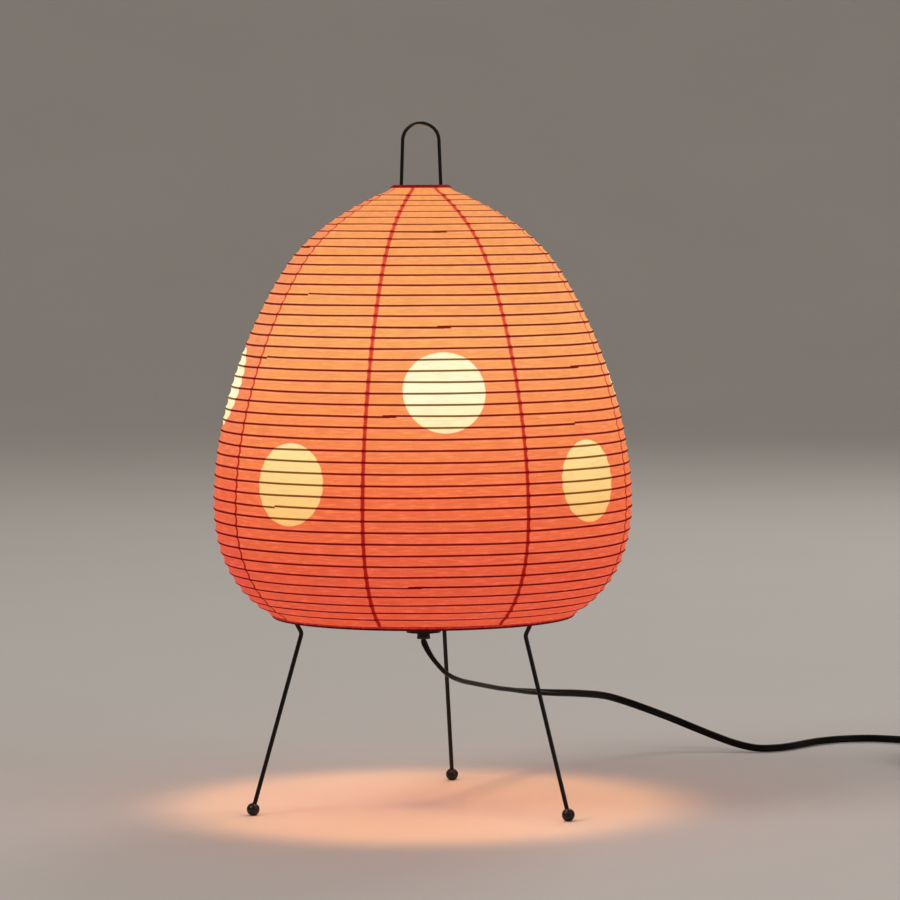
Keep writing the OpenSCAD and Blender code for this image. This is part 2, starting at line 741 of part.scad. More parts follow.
plug_y = 236;
end_start = coil_path[len(coil_path) - 1] + [0, slip, 0];
end_stop = [end_start.x, plug_y - relief_l - slip, plug_h / 2];
end_route = [end_start + [0, 8, 0], (end_start + end_stop) / 2, end_stop - [0, 8, 0]];
end_path = cord_run(end_start, [0, end_run, 0], end_route, end_stop, [0, -end_run, 0], 3);
module cord_end() { flat_cord(end_path, on_edge, 8); }

cord_length = way(lead_path) + 2 * relief_l + switch_l + way(link_path) + way(coil_path)
    + way(end_path) + relief_l;
echo(lead = way(lead_path), coil = way(coil_path), cord_length = cord_length);

// A flat tie round the turns of the coil
tie_w = 8;
tie_t = 0.5;
module cord_tie() {
    inside = [coil_in - cord_t / 2 - 0.5, coil_r + cord_t / 2 + 0.5];
    low = tie_t;
    high = coil_z + layer_pitch + cord_w / 2 + 0.4;
    color("dimgray")
        translate([coil_at.x, coil_at.y, 0])
            rotate([0, 0, -60])
                translate([0, tie_w / 2, 0])
                    rotate([90, 0, 0])
                        linear_extrude(tie_w)
                            difference() {
                                translate([inside[0] - tie_t, 0])
                                    square([inside[1] - inside[0] + 2 * tie_t, high + tie_t]);
                                translate([inside[0], low]) square([inside[1] - inside[0], high - low]);
                            }
}

// Switch: two moulded halves screwed together, a rocker on its own pins and two contacts
switch_mid = switch_h / 2;
rocker_r = rocker_l / 2;
corner_up = 30;
pivot_z = switch_h - rocker_r * sin(corner_up);
pin_d = 2.5;
pin_reach = 1.9;
rocker_gap = 0.3;
cavity_w = rocker_w + 2 * rocker_gap;

module rounded_rect(l, w, r) {
    for (x = [-1, 1], y = [-1, 1]) translate([x * (w / 2 - r), y * (l / 2 - r)]) circle(r = r);
    square([w - 2 * r, l], center = true);
    square([w, l - 2 * r], center = true);
}

module at_switch() { translate([switch_at.x, switch_at.y, 0]) children(); }

switch_corner = 8;
screw_place = switch_l / 2 - 7;
module switch_shell(from, to) {
    translate([0, 0, from]) linear_extrude(to - from) rounded_rect(switch_l, switch_w, switch_corner);
}

module switch_inside(from, to) {
    translate([0, 0, from])
        linear_extrude(to - from)
            rounded_rect(switch_l - 2 * switch_wall, switch_w - 2 * switch_wall, switch_corner - switch_wall);
}

module switch_lower() {
    color("black")
        at_switch()
            difference() {
                union() {
                    difference() {
                        switch_shell(0, switch_mid - slip);
                        switch_inside(switch_wall, switch_mid);
                    }
                    for (m = [-1, 1])
                        translate([0, m * screw_place, 0]) cylinder(h = switch_mid - slip, d = 6);
                }
                for (m = [-1, 1]) {
                    translate([0, m * screw_place, -1]) cylinder(h = switch_h, d = 2.6 + 2 * slip);
                    translate([0, m * screw_place, -1]) cylinder(h = 2.6, d = 4.6 + 2 * slip);
                    relief_socket(m);
                }
            }
}

module switch_upper() {
    rib = 3;
    color("black")
        at_switch()
            difference() {
                union() {
                    difference() {
                        switch_shell(switch_mid, switch_h);
                        switch_inside(switch_mid - 1, switch_h - switch_wall);
                    }
                    for (m = [-1, 1]) {
                        translate([0, m * screw_place, switch_mid]) cylinder(h = switch_mid - 1, d = 6);
                        translate([m * (cavity_w / 2 + rib / 2), 0, (switch_mid + switch_h) / 2])
                            cube([rib, 8, switch_mid], center = true);
                    }
                }
                translate([0, 0, switch_h])
                    cube([cavity_w, rocker_l + 2 * rocker_gap, 2 * switch_wall + 1], center = true);
                translate([0, 0, pivot_z])
                    rotate([0, 90, 0]) cylinder(h = cavity_w + 4.4, d = pin_d + 2 * slip, center = true);
                for (m = [-1, 1]) {
                    translate([0, m * screw_place, switch_mid - 1]) cylinder(h = 6.5, d = 2.2 + 2 * slip);
                    relief_socket(m);
                }
            }
}

// The rocker in its on position: the far end is down. Its ends are round about the pivot.
module switch_rocker() {
    side = [for (a = [-14:6:corner_up - 2]) a];
    ends = concat([for (a = side) rocker_r * [cos(a), sin(a)]], [rocker_r * [cos(corner_up), sin(corner_up)]]);
    valley = [0, rocker_r * sin(corner_up) - 1.5];
    under = 3.4;
    color("black")
        translate([switch_at.x, switch_at.y, pivot_z])
            rotate([-rocker_throw / 2, 0, 0]) {
                rotate([90, 0, 90])
                    linear_extrude(rocker_w, center = true)
                        polygon(concat(
                            ends, [valley], [for (k = [len(ends) - 1:-1:0]) [-ends[k].x, ends[k].y]],
                            [[-3, -under], [3, -under]]));
                rotate([0, 90, 0]) cylinder(h = rocker_w + 2 * pin_reach, d = pin_d, center = true);
            }
}

module switch_contacts() {
    color("gold")
        at_switch()
            for (m = [-1, 1])
                translate([0, m * 14, switch_wall + slip]) {
                    translate([-4, -4, 0]) cube([8, 8, 1]);
                    translate([0, -m * 3, 0]) cylinder(h = 3, d = 3);
                }
}

module switch_screws() {
    color("silver")
        at_switch()
            for (m = [-1, 1])
                translate([0, m * screw_place, 0])
                    difference() {
                        union() {
                            translate([0, 0, 0.3]) cylinder(h = 1.2, d = 4.6);
                            translate([0, 0, 1]) cylinder(h = switch_mid + 3.5, d = 2.2);
                        }
                        translate([-4, -0.35, 0]) cube([8, 0.7, 0.8]);
                    }
}

// Strain reliefs: ribbed tapers whose collars are held between the two halves
relief_root = 7.6;
relief_tip = 5.8;
module relief_profile() {
    grooves = 5;
    step = (relief_l - 3) / grooves;
    radius = [for (k = [0:grooves]) relief_root / 2 + (relief_tip - relief_root) / 2 * k / grooves];
    polygon(concat(
        [[0, -2.6], [relief_root / 2 + 0.8, -2.6], [relief_root / 2 + 0.8, -switch_wall - 2 * slip],
            [relief_root / 2 - 0.9, -switch_wall - 2 * slip], [relief_root / 2 - 0.9, slip], [radius[0], slip]],
        [for (k = [0:grooves - 1]) each [
            [radius[k], k * step + step * 0.55], [radius[k] - 0.7, k * step + step * 0.6],
            [radius[k] - 0.7, (k + 1) * step - 0.3], [radius[k + 1], (k + 1) * step]]],
        [[radius[grooves], relief_l], [0, relief_l]]));
}

module relief_socket(m) {
    translate([0, m * (switch_l / 2 + 1), switch_mid])
        rotate([m * 90, 0, 0])
            cylinder(h = switch_wall + 2, d = relief_root - 1.8 + 2 * slip);
    translate([0, m * (switch_l / 2 - switch_wall), switch_mid])
        rotate([m * 90, 0, 0])
            cylinder(h = 1.4, d = relief_root + 1.8);
}

module switch_reliefs() {
    color("black")
        at_switch()
            for (m = [-1, 1])
                translate([0, m * switch_l / 2, switch_mid])
                    rotate([-m * 90, 0, 0])
                        rotate_extrude() relief_profile();
}

// Plug: a moulded body with two flat blades
module at_plug() { translate([end_stop.x, plug_y, plug_h / 2]) children(); }

module plug_body() {
    grip = 9;
    color("black")
        at_plug()
            difference() {
                union() {
                    translate([-plug_w / 2, grip, -plug_h / 2]) cube([plug_w, plug_l - grip, plug_h]);
                    rotate([-90, 0, 0]) cylinder(h = grip + 1, d1 = 11, d2 = plug_h);
                    translate([0, grip, 0])
                        rotate([90, 0, 0])
                            linear_extrude(1.6, center = true) rounded_rect(plug_h - 2, plug_w - 3, 4);
                }
                translate([0, -1, 0]) rotate([-90, 0, 0]) cylinder(h = 5, d = relief_root + 2 * slip);
                for (m = [-1, 1])
                    translate([m * blade_gap / 2, plug_l - 6, 0])
                        translate([-blade_t / 2 - slip, 0, -blade_w / 2 - slip])
                            cube([blade_t + 2 * slip, 8, blade_w + 2 * slip]);
            }
}

module plug_relief() {
    color("black")
        at_plug()
            rotate([90, 0, 0])
                rotate_extrude()
                    polygon([
                        [0, -3.6], [relief_root / 2, -3.6], [relief_root / 2, 6], [relief_tip / 2, relief_l],
                        [0, relief_l],
                    ]);
}

blade_w = 6.3;
blade_t = 1.5;
module plug_blades() {
    root = 5.5;
    color("silver")
        at_plug()
            for (m = [-1, 1])
                translate([m * blade_gap / 2, plug_l - root, 0])
                    difference() {
                        union() {
                            translate([-blade_t / 2, 0, -blade_w / 2])
                                cube([blade_t, root + blade_l - blade_w / 2, blade_w]);
                            translate([0, root + blade_l - blade_w / 2, 0])
                                rotate([0, 90, 0]) cylinder(h = blade_t, d = blade_w, center = true);
                        }
                        translate([0, root + blade_l - 4.5, 0])
                            rotate([0, 90, 0]) cylinder(h = blade_t + 2, d = 3, center = true);
                    }
}

gore(1);  // gore_1
gore(2);  // gore_2
gore(3);  // gore_3
gore(4);  // gore_4
gore(5);  // gore_5
gore(6);  // gore_6
gore(7);  // gore_7
gore(8);  // gore_8
hoops(group_start(0), group_start(1) - 1);  // hoops_crown
hoops(group_start(1), group_start(2) - 1);  // hoops_shoulder
hoops(group_start(2), group_start(3) - 1);  // hoops_upper
hoops(group_start(3), group_start(4) - 1);  // hoops_middle
hoops(group_start(4), group_start(5) - 1);  // hoops_belly
hoops(group_start(5), group_start(6) - 1);  // hoops_lower
wire_ring(top_ring_r, top_ring_z, top_ring_wire);  // shade_top_ring
wire_ring(bottom_ring_r, bottom_ring_z, bottom_ring_wire);  // shade_bottom_ring
shade_hem();
handle_stretcher();
hub_plate();
leg(0);  // leg_back
leg(1);  // leg_left
leg(2);  // leg_right
foot(0);  // foot_back
foot(1);  // foot_left
foot(2);  // foot_right
nipple();
lock_nut();
cord_bushing();
inner_flex();
flex_cores();
holder_cap();
holder_insulator();
holder_shell();
holder_screw_shell();
holder_contact();
terminal_screws();
bulb_glass();
bulb_cap();
bulb_insulator();
bulb_contact();
bulb_stem();
bulb_filaments();
cord_lead();
cord_link();
cord_coil();
cord_end();
cord_tie();
switch_lower();
switch_upper();
switch_rocker();
switch_contacts();
switch_screws();
switch_reliefs();
plug_body();
plug_relief();
plug_blades();
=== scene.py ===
"""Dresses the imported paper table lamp: camera, cords, paper shade, finishes, floor and lights."""

import math

import bmesh
import bpy
import numpy as np
from mathutils import Matrix, Vector


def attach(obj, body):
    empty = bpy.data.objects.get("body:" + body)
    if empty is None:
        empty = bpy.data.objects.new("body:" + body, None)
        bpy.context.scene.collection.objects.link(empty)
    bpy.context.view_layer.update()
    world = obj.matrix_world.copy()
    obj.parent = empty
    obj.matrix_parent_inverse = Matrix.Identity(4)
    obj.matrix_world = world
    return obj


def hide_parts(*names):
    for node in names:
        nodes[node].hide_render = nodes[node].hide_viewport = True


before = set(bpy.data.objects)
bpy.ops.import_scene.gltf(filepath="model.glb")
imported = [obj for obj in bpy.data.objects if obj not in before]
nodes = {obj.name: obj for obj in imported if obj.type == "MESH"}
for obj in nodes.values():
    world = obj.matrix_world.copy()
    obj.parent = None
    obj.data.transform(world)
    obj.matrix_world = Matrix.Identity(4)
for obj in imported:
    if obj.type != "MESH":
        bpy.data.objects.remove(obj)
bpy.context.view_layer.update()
scene = bpy.context.scene

MM = 0.001
TO_MM = 1000.0
TAU = 2 * math.pi


# Meshes

WELD = 0.002
FLAT_DEGREES = 1
BEVEL_SEGMENTS, BEVEL_FROM_DEGREES = 3, 35


def link(obj):
    scene.collection.objects.link(obj)
    return obj


def new_mesh(name, verts, faces, material):
    mesh = bpy.data.meshes.new(name)
    mesh.from_pydata([tuple(v) for v in verts], [], faces)
    mesh.validate()
    mesh.update()
    mesh.polygons.foreach_set("use_smooth", [True] * len(mesh.polygons))
    mesh.materials.append(material)
    return link(bpy.data.objects.new(name, mesh))


def from_node(name, node, bevel):
    """A copy of a CAD node's mesh, welded, with its sharp edges rounded by bevel millimetres."""
    mesh = nodes[node].data.copy()
    mesh.materials.clear()
    obj = link(bpy.data.objects.new(name, mesh))
    work = bmesh.new()
    work.from_mesh(mesh)
    bmesh.ops.remove_doubles(work, verts=work.verts, dist=WELD * MM)
    bmesh.ops.dissolve_limit(
        work, angle_limit=math.radians(FLAT_DEGREES), verts=work.verts, edges=work.edges,
    )
    bmesh.ops.recalc_face_normals(work, faces=work.faces)
    work.to_mesh(mesh)
    work.free()
    rounding = obj.modifiers.new("round", "BEVEL")
    rounding.width = bevel * MM
    rounding.segments = BEVEL_SEGMENTS
    rounding.limit_method = "ANGLE"
    rounding.angle_limit = math.radians(BEVEL_FROM_DEGREES)
    mesh.polygons.foreach_set("use_smooth", [True] * len(mesh.polygons))
    smooth_by_angle(obj, degrees=40)
    return obj


def smooth_by_angle(obj, degrees):
    """Marks the edges sharper than that, so that smooth shading stops there."""
    mesh = obj.data
    work = bmesh.new()
    work.from_mesh(mesh)
    for edge in work.edges:
        if len(edge.link_faces) == 2:
            edge.smooth = edge.calc_face_angle() < math.radians(degrees)
    work.to_mesh(mesh)
    work.free()


# Materials


class Graph:
    """A material's nodes, with short calls for the maths."""

    def __init__(self, name):
        self.material = bpy.data.materials.new(name)
        self.material.use_nodes = True
        self.tree = self.material.node_tree
        self.shader = self.tree.nodes["Principled BSDF"]

    def node(self, kind, **settings):
        made = self.tree.nodes.new("ShaderNode" + kind)
        for key, value in settings.items():
            setattr(made, key, value)
        return made

    def put(self, value, socket):
        if isinstance(value, bpy.types.NodeSocket):
            self.tree.links.new(value, socket)
        else:
            socket.default_value = value

    def math(self, operation, a, b=0.0, c=0.0):
        made = self.node("Math", operation=operation)
        for value, socket in zip((a, b, c), made.inputs, strict=True):
            self.put(value, socket)
        return made.outputs[0]

    def add(self, a, b):
        return self.math("ADD", a, b)

    def sub(self, a, b):
        return self.math("SUBTRACT", a, b)

    def mul(self, a, b):
        return self.math("MULTIPLY", a, b)

    def div(self, a, b):
        return self.math("DIVIDE", a, b)

    def least(self, a, b):
        return self.math("MINIMUM", a, b)

    def most(self, a, b):
        return self.math("MAXIMUM", a, b)

    def same(self, a, b):
        return self.math("COMPARE", a, b, 0.1)

    def step(self, value, low, high, to_low=0.0, to_high=1.0):
        """Rises smoothly from to_low to to_high while value goes from low to high."""
        made = self.node("MapRange", interpolation_type="SMOOTHSTEP")
        for item, socket in zip((value, low, high, to_low, to_high), made.inputs, strict=False):
            self.put(item, socket)
        return made.outputs[0]

    def fade(self, value, low, high):
        """Falls smoothly from 1 to 0 while value goes from low to high."""
        return self.step(value, low, high, 1.0, 0.0)

    def mix(self, share, a, b, blend="MIX"):
        """Mixes two colours, for which a Mix node has its inputs 6 and 7 and its output 2."""
        made = self.node("Mix", data_type="RGBA", blend_type=blend)
        self.put(share, made.inputs[0])
        self.put(a, made.inputs[6])
        self.put(b, made.inputs[7])
        return made.outputs[2]

    def tint(self, share, colour, by):
        return self.mix(share, colour, by, "MULTIPLY")

    def noise(self, vector, scale, detail=2.0, rough=0.5):
        made = self.node("TexNoise")
        self.put(vector, made.inputs["Vector"])
        made.inputs["Scale"].default_value = scale
        made.inputs["Detail"].default_value = detail
        made.inputs["Roughness"].default_value = rough
        return made.outputs["Fac"]

    def sheet_noise(self, across, down, detail, rough=0.5):
        """Noise over a flat sheet, whose two coordinates set its grain."""
        made = self.node("CombineXYZ")
        self.put(across, made.inputs[0])
        self.put(down, made.inputs[1])
        return self.noise(made.outputs[0], 1.0, detail, rough)

    def place(self):
        return self.node("TexCoord").outputs["Object"]

    def parts(self, vector):
        made = self.node("SeparateXYZ")
        self.put(vector, made.inputs[0])
        return made.outputs

    def stretched(self, vector, scale):
        made = self.node("Mapping")
        self.put(vector, made.inputs["Vector"])
        made.inputs["Scale"].default_value = scale
        return made.outputs[0]

    def ramp(self, share, stops):
        made = self.node("ValToRGB")
        self.put(share, made.inputs[0])
        band = made.color_ramp
        while len(band.elements) < len(stops):
            band.elements.new(0.5)
        for element, (at, colour) in zip(band.elements, stops, strict=True):
            element.position = at
            element.color = colour
        return made.outputs[0]

    def bump(self, height, distance, strength=1.0):
        made = self.node("Bump")
        made.inputs["Strength"].default_value = strength
        made.inputs["Distance"].default_value = distance
        self.put(height, made.inputs["Height"])
        self.tree.links.new(made.outputs[0], self.shader.inputs["Normal"])

    def set(self, **values):
        for key, value in values.items():
            self.put(value, self.shader.inputs[key.replace("_", " ")])


def linear(red, green, blue):
    """Scene colour from a display colour of 0 to 255."""

    def one(value):
        value /= 255
        return value / 12.92 if value <= 0.04045 else ((value + 0.055) / 1.055) ** 2.4

    return (one(red), one(green), one(blue), 1.0)


CLOUDS_TO_GRAIN = 0.12
ROUGH_SPREAD, LEAST_ROUGH, COAT_ROUGH = 0.07, 0.02, 0.15


def finish_of(name, colour, rough, metal=0.0, spread=0.15, grain=0.02, scale=900.0, coat=0.0, **more):
    """A finish with a little variation of colour and roughness, and a fine grain in relief."""
    graph = Graph(name)
    at = graph.place()
    cloud = graph.noise(at, scale * CLOUDS_TO_GRAIN, 3.0)
    fine = graph.noise(at, scale, 2.0, 0.6)
    darker = tuple(c * (1 - spread) for c in colour[:3]) + (1.0,)
    lighter = tuple(min(1.0, c * (1 + spread)) for c in colour[:3]) + (1.0,)
    smoothest, roughest = max(LEAST_ROUGH, rough - ROUGH_SPREAD), min(1.0, rough + ROUGH_SPREAD)
    graph.set(
        Base_Color=graph.mix(cloud, darker, lighter),
        Roughness=graph.step(fine, 0.3, 0.7, smoothest, roughest),
        Metallic=metal,
        Coat_Weight=coat,
        Coat_Roughness=COAT_ROUGH,
        **more,
    )
    graph.bump(fine, grain * MM)
    return graph.material


# Camera: at the photograph's distance, height and bearing

CAMERA_BEARING = 9.2
CAMERA_DISTANCE = 2.65
CAMERA_HEIGHT = 0.386
CAMERA_PITCH = 3.53
CAMERA_PAN = 0.37
CAMERA_ROLL = -0.30
CAMERA_LENS, CAMERA_SENSOR = 170.5, 36

camera_data = bpy.data.cameras.new("camera")
camera_data.lens = CAMERA_LENS
camera_data.sensor_width = CAMERA_SENSOR
camera_data.clip_start = 0.1
camera_data.clip_end = 200
camera = link(bpy.data.objects.new("camera", camera_data))
bearing = math.radians(CAMERA_BEARING)
camera_at = (CAMERA_DISTANCE * math.sin(bearing), -CAMERA_DISTANCE * math.cos(bearing), CAMERA_HEIGHT)
camera.matrix_world = (
    Matrix.Translation(camera_at)
    @ Matrix.Rotation(bearing - math.radians(CAMERA_PAN), 4, "Z")
    @ Matrix.Rotation(math.radians(90 - CAMERA_PITCH), 4, "X")
    @ Matrix.Rotation(math.radians(CAMERA_ROLL), 4, "Z")
)
scene.camera = camera

# Cords, in millimetres. Link, coil and end take the CAD model's routes. The lead's hanging part
# follows the photograph, up to 6 mm beside the solid, and joins the solid's route above the floor.

CORD_W, CORD_T = 5.0, 2.8
CORE_SIDES, CORE_ARC, GROOVE_SHARE = 10, 1.95, 0.72
CURVE_STEPS = 4
EXIT_Z = 104.65
SWITCH = (305.0, 240.0)
SWITCH_L, SWITCH_H, RELIEF_L = 62.0, 18.0, 22.0
SLIP = 0.05
END_RUN = 1.5
LEAD_ROUTE = [
    (0.9, 0.35, 100.6), (2.7, 1.3, 96.6), (4.7, 2.9, 92.8), (6.7, 5.2, 89.4), (8.9, 8.7, 85.8),
    (11.0, 14, 82.2), (13.2, 20.4, 79.2), (15.7, 29.9, 76.2), (18.3, 41.4, 73.4), (20.9, 54, 71.0),
    (24.1, 69.7, 68.1), (28.0, 89.6, 64.5), (32.2, 108.5, 61.1), (36.9, 126.5, 58.2),
    (41.7, 144.4, 55.3), (47.2, 161.4, 52.8), (59, 186, 49.4), (71, 214, 45.8), (84.5, 243, 41),
    (97, 261, 35), (111, 275, 28), (125.5, 282.5, 21.5), (140, 284, 15.5), (155.5, 280.5, 10),
    (171, 275, 5.5), (185.5, 271.5, 3), (198, 275, 2.8), (208, 286, 2.8), (216, 300, 2.8),
    (226, 315, 2.8), (240, 327, 2.8), (258, 333, 2.8), (276, 330, 2.8), (291, 321, 3.2), (301.5, 309, 6.4),
]

# Where the cord's wide side points, by the share of the way. The lead hangs with that side about
# level and lies on its edge on the floor, as the other runs do.
LEAD_SIDES = [
    (0, (-0.1, 1, 0)), (0.012, (0.33, 0.94, 0)), (0.03, (0.33, 0.94, 0)),
    (0.11, (-0.16, 0.99, -0.06)), (0.4, (-0.16, 0.99, -0.06)), (0.56, (0, 0, 1)), (1, (0, 0, 1)),
]
ON_EDGE = [(0, (0, 0, 1)), (1, (0, 0, 1))]

COIL_AT = (338.0, 150.0)
COIL_R, COIL_PITCH, LAYER_PITCH, LAYER_TURNS = 33.0, 3.5, 5.7, 2.75
COIL_BOTTOM = 0.8
COIL_Z = COIL_BOTTOM + CORD_W / 2
COIL_IN = COIL_R - COIL_PITCH * LAYER_TURNS
CLIMB_TURNS = 0.5
RINGS_A_TURN = 24
PLUG_Y, PLUG_H = 236.0, 14.0
LINK_EASE, END_EASE = np.array([0, 7, 0.3]), np.array([0, 8, 0])


def through(points):
    """A smooth curve through the points, with CURVE_STEPS steps between each pair."""
    p = [np.array(point, float) for point in points]
    curve = []
    for i in range(len(p) - 1):
        before = p[i - 1] if i else 2 * p[0] - p[1]
        after = p[i + 2] if i < len(p) - 2 else 2 * p[i + 1] - p[i]
        for k in range(CURVE_STEPS):
            t = k / CURVE_STEPS
            curve.append(
                0.5 * (2 * p[i] + (p[i + 1] - before) * t
                       + (2 * before - 5 * p[i] + 4 * p[i + 1] - after) * t ** 2
                       + (3 * p[i] - before - 3 * p[i + 1] + after) * t ** 3)
            )
    return curve + [p[-1]]


def cord_run(start, start_way, points, stop, stop_way):
    """A smooth run between two short straight ends."""
    start, stop = np.array(start, float), np.array(stop, float)
    straight_start, straight_stop = np.multiply(start_way, END_RUN), np.multiply(stop_way, END_RUN)
    return [start, *through([start + straight_start, *points, stop + straight_stop]), stop]


def coil_point(i, rings):
    """A point of the coil: the lower layer winds inwards and the upper layer out again."""
    turns = 2 * LAYER_TURNS * i / rings
    if turns < LAYER_TURNS:
        r = COIL_R - COIL_PITCH * turns
    else:
        r = COIL_IN + COIL_PITCH * (turns - LAYER_TURNS)
    climb = max(0, min(1, (turns - LAYER_TURNS) / CLIMB_TURNS + 0.5))
    a = math.pi + TAU * turns
    x, y = COIL_AT[0] + r * math.cos(a), COIL_AT[1] + r * math.sin(a)
    return np.array([x, y, COIL_Z + climb * LAYER_PITCH])


def flat_section():
    """Section of the twin cord as (wide, thin): two round cores with a groove between them."""
    r = CORD_T / 2
    apart = (CORD_W - CORD_T) / 2
    arc = np.linspace(-CORE_ARC, CORE_ARC, CORE_SIDES)
    half = [(apart + r * math.cos(a), r * math.sin(a)) for a in arc]
    groove = (0.0, GROOVE_SHARE * r)
    return half + [groove] + [(-x, y) for x, y in reversed(half)] + [(0.0, -groove[1])]


def sweep(name, path, keys):
    """A flat cord along the path in millimetres. The keys give its wide side by the share of the way."""
    section = flat_section()
    at_keys = [share for share, _ in keys]
    rings, sides = len(path), len(section)
    verts, faces = [], []
    for i, at in enumerate(path):
        share = i / (rings - 1)
        ahead = path[min(i + 1, rings - 1)] - path[max(i - 1, 0)]
        ahead = ahead / np.linalg.norm(ahead)
        wide = np.array([np.interp(share, at_keys, [way[axis] for _, way in keys]) for axis in range(3)])
        thin = np.cross(ahead, wide)
        thin /= np.linalg.norm(thin)
        wide = np.cross(thin, ahead)
        verts += [(at + wide * w + thin * t) * MM for w, t in section]
    for i in range(rings - 1):
        for k in range(sides):
            a, b = i * sides + k, i * sides + (k + 1) % sides
            faces.append((a, b, b + sides, a + sides))
    faces.append(tuple(range(sides - 1, -1, -1)))
    faces.append(tuple((rings - 1) * sides + k for k in range(sides)))
    obj = new_mesh(name, verts, faces, cord_vinyl)
    smooth_by_angle(obj, degrees=70)
    return obj


cord_vinyl = finish_of("cord_vinyl", linear(9, 7, 7), 0.36, spread=0.3, grain=0.03, scale=1500.0,
                       Specular_IOR_Level=0.12)

lead_path = cord_run(
    (0, 0, EXIT_Z - SLIP), (0, 0, -1), LEAD_ROUTE,
    (SWITCH[0], SWITCH[1] + SWITCH_L / 2 + RELIEF_L + SLIP, SWITCH_H / 2), (0, 1, 0),
)
cord_lead = sweep("cord_lead_twin", lead_path, LEAD_SIDES)

rings = round(2 * LAYER_TURNS * RINGS_A_TURN)
wound = [coil_point(i, rings) for i in range(rings + 1)]
ahead = np.array([0.0, CORD_W, 0.0])
coil_path = [wound[0] + ahead] + wound + [wound[-1] + ahead]
cord_coil = sweep("cord_coil_twin", coil_path, ON_EDGE)

link_start = np.array([SWITCH[0], SWITCH[1] - SWITCH_L / 2 - RELIEF_L - SLIP, SWITCH_H / 2])
link_end = coil_path[0] + [0, SLIP, 0]
link_path = cord_run(
    link_start, (0, -1, 0), [link_start - LINK_EASE, (link_start + link_end) / 2, link_end + LINK_EASE],
    link_end, (0, 1, 0),
)
cord_link = sweep("cord_link_twin", link_path, ON_EDGE)

end_start = coil_path[-1] + [0, SLIP, 0]
end_stop = np.array([end_start[0], PLUG_Y - RELIEF_L - SLIP, PLUG_H / 2])
end_path = cord_run(
    end_start, (0, 1, 0), [end_start + END_EASE, (end_start + end_stop) / 2, end_stop - END_EASE],
    end_stop, (0, -1, 0),
)
cord_end = sweep("cord_end_twin", end_path, ON_EDGE)

for piece, node in (
    (cord_lead, "cord_lead"), (cord_link, "cord_link"), (cord_coil, "cord_coil"), (cord_end, "cord_end"),
):
    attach(piece, "lamp")
    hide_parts(node)

# Switch, plug and tie: the CAD solids with their moulded edges rounded

switch_plastic = finish_of("switch_plastic", linear(30, 28, 27), 0.48, grain=0.03, scale=1400.0)
rocker_plastic = finish_of("rocker_plastic", linear(26, 25, 25), 0.3, grain=0.01)
plug_plastic = finish_of("plug_plastic", linear(24, 22, 22), 0.36, grain=0.02)
dark_plastic = finish_of("dark_plastic", linear(30, 28, 27), 0.5)


def rounded(name, node, bevel, material, body="lamp"):
    obj = from_node(name, node, bevel)
    obj.data.materials.append(material)
    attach(obj, body)
    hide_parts(node)
    return obj


switch_top = rounded("switch_upper_moulded", "switch_upper", 1.2, switch_plastic)
switch_base = rounded("switch_lower_moulded", "switch_lower", 0.9, switch_plastic)
rocker = rounded("switch_rocker_moulded", "switch_rocker", 0.5, rocker_plastic, "rocker")
plug = rounded("plug_body_moulded", "plug_body", 1.6, plug_plastic)
tie = rounded("cord_tie_band", "cord_tie", 0.25, dark_plastic)

# Shade, in millimetres: the CAD model's outline, hoops and gores, with deeper sag and small ripples

WIDEST_R, TOP_R, MOUTH_R = 130.5, 17.5, 95.0
SHADE_TOP, WIDEST_Z, SHADE_BOTTOM = 386.0, 190.0, 121.2
PAPER_T, PAPER_SAG, GLUE = 0.3, 0.85, 0.03
HOOPS, CROWN_STRIP, HEM_STRIP, HEM_COVER = 44, 12.0, 9.5, 1.0
GORES, SEAM_TURN, SEAM_LAP = 8, 38.2, 2.6
UPPER = [(0, 0), (0.259, 0.061), (0.454, 0.136), (0.576, 0.233), (0.766, 0.385), (1, 0.694), (1, 1)]
LOWER = [(0, 0), (0, 0.566), (0.521, 0.868), (1, 1)]
OUTLINE_STEPS = 40


def bezier(p, t):
    return (1 - t) ** 3 * p[0] + 3 * (1 - t) ** 2 * t * p[1] + 3 * (1 - t) * t ** 2 * p[2] + t ** 3 * p[3]


def shade_outline():
    """The outline as (radius, height), from the top ring to the mouth."""
    widening, shrinking = WIDEST_R - TOP_R, WIDEST_R - MOUTH_R
    above, below = SHADE_TOP - WIDEST_Z, WIDEST_Z - SHADE_BOTTOM
    upper = [np.array([TOP_R + x * widening, SHADE_TOP - y * above]) for x, y in UPPER]
    lower = [np.array([WIDEST_R - x * shrinking, WIDEST_Z - y * below]) for x, y in LOWER]
    points = [upper[0]]
    for curve in (upper[:4], upper[3:], lower):
        points += [bezier(curve, i / OUTLINE_STEPS) for i in range(1, OUTLINE_STEPS + 1)]
    return np.array(points)


OUTLINE = shade_outline()
WAY = np.concatenate([[0.0], np.cumsum(np.linalg.norm(np.diff(OUTLINE, axis=0), axis=1))])
PAPER_L = float(WAY[-1])
HOOP_PITCH = (PAPER_L - CROWN_STRIP - HEM_STRIP) / (HOOPS - 1)
TANGENT_REACH = 0.5


def along(way):
    return np.array([np.interp(way, WAY, OUTLINE[:, 0]), np.interp(way, WAY, OUTLINE[:, 1])])


def outward(way):
    down = along(min(way + TANGENT_REACH, PAPER_L)) - along(max(way - TANGENT_REACH, 0.0))
    down /= np.linalg.norm(down)
    return np.array([-down[1], down[0]])


def hoop_at(i):
    return CROWN_STRIP + i * HOOP_PITCH


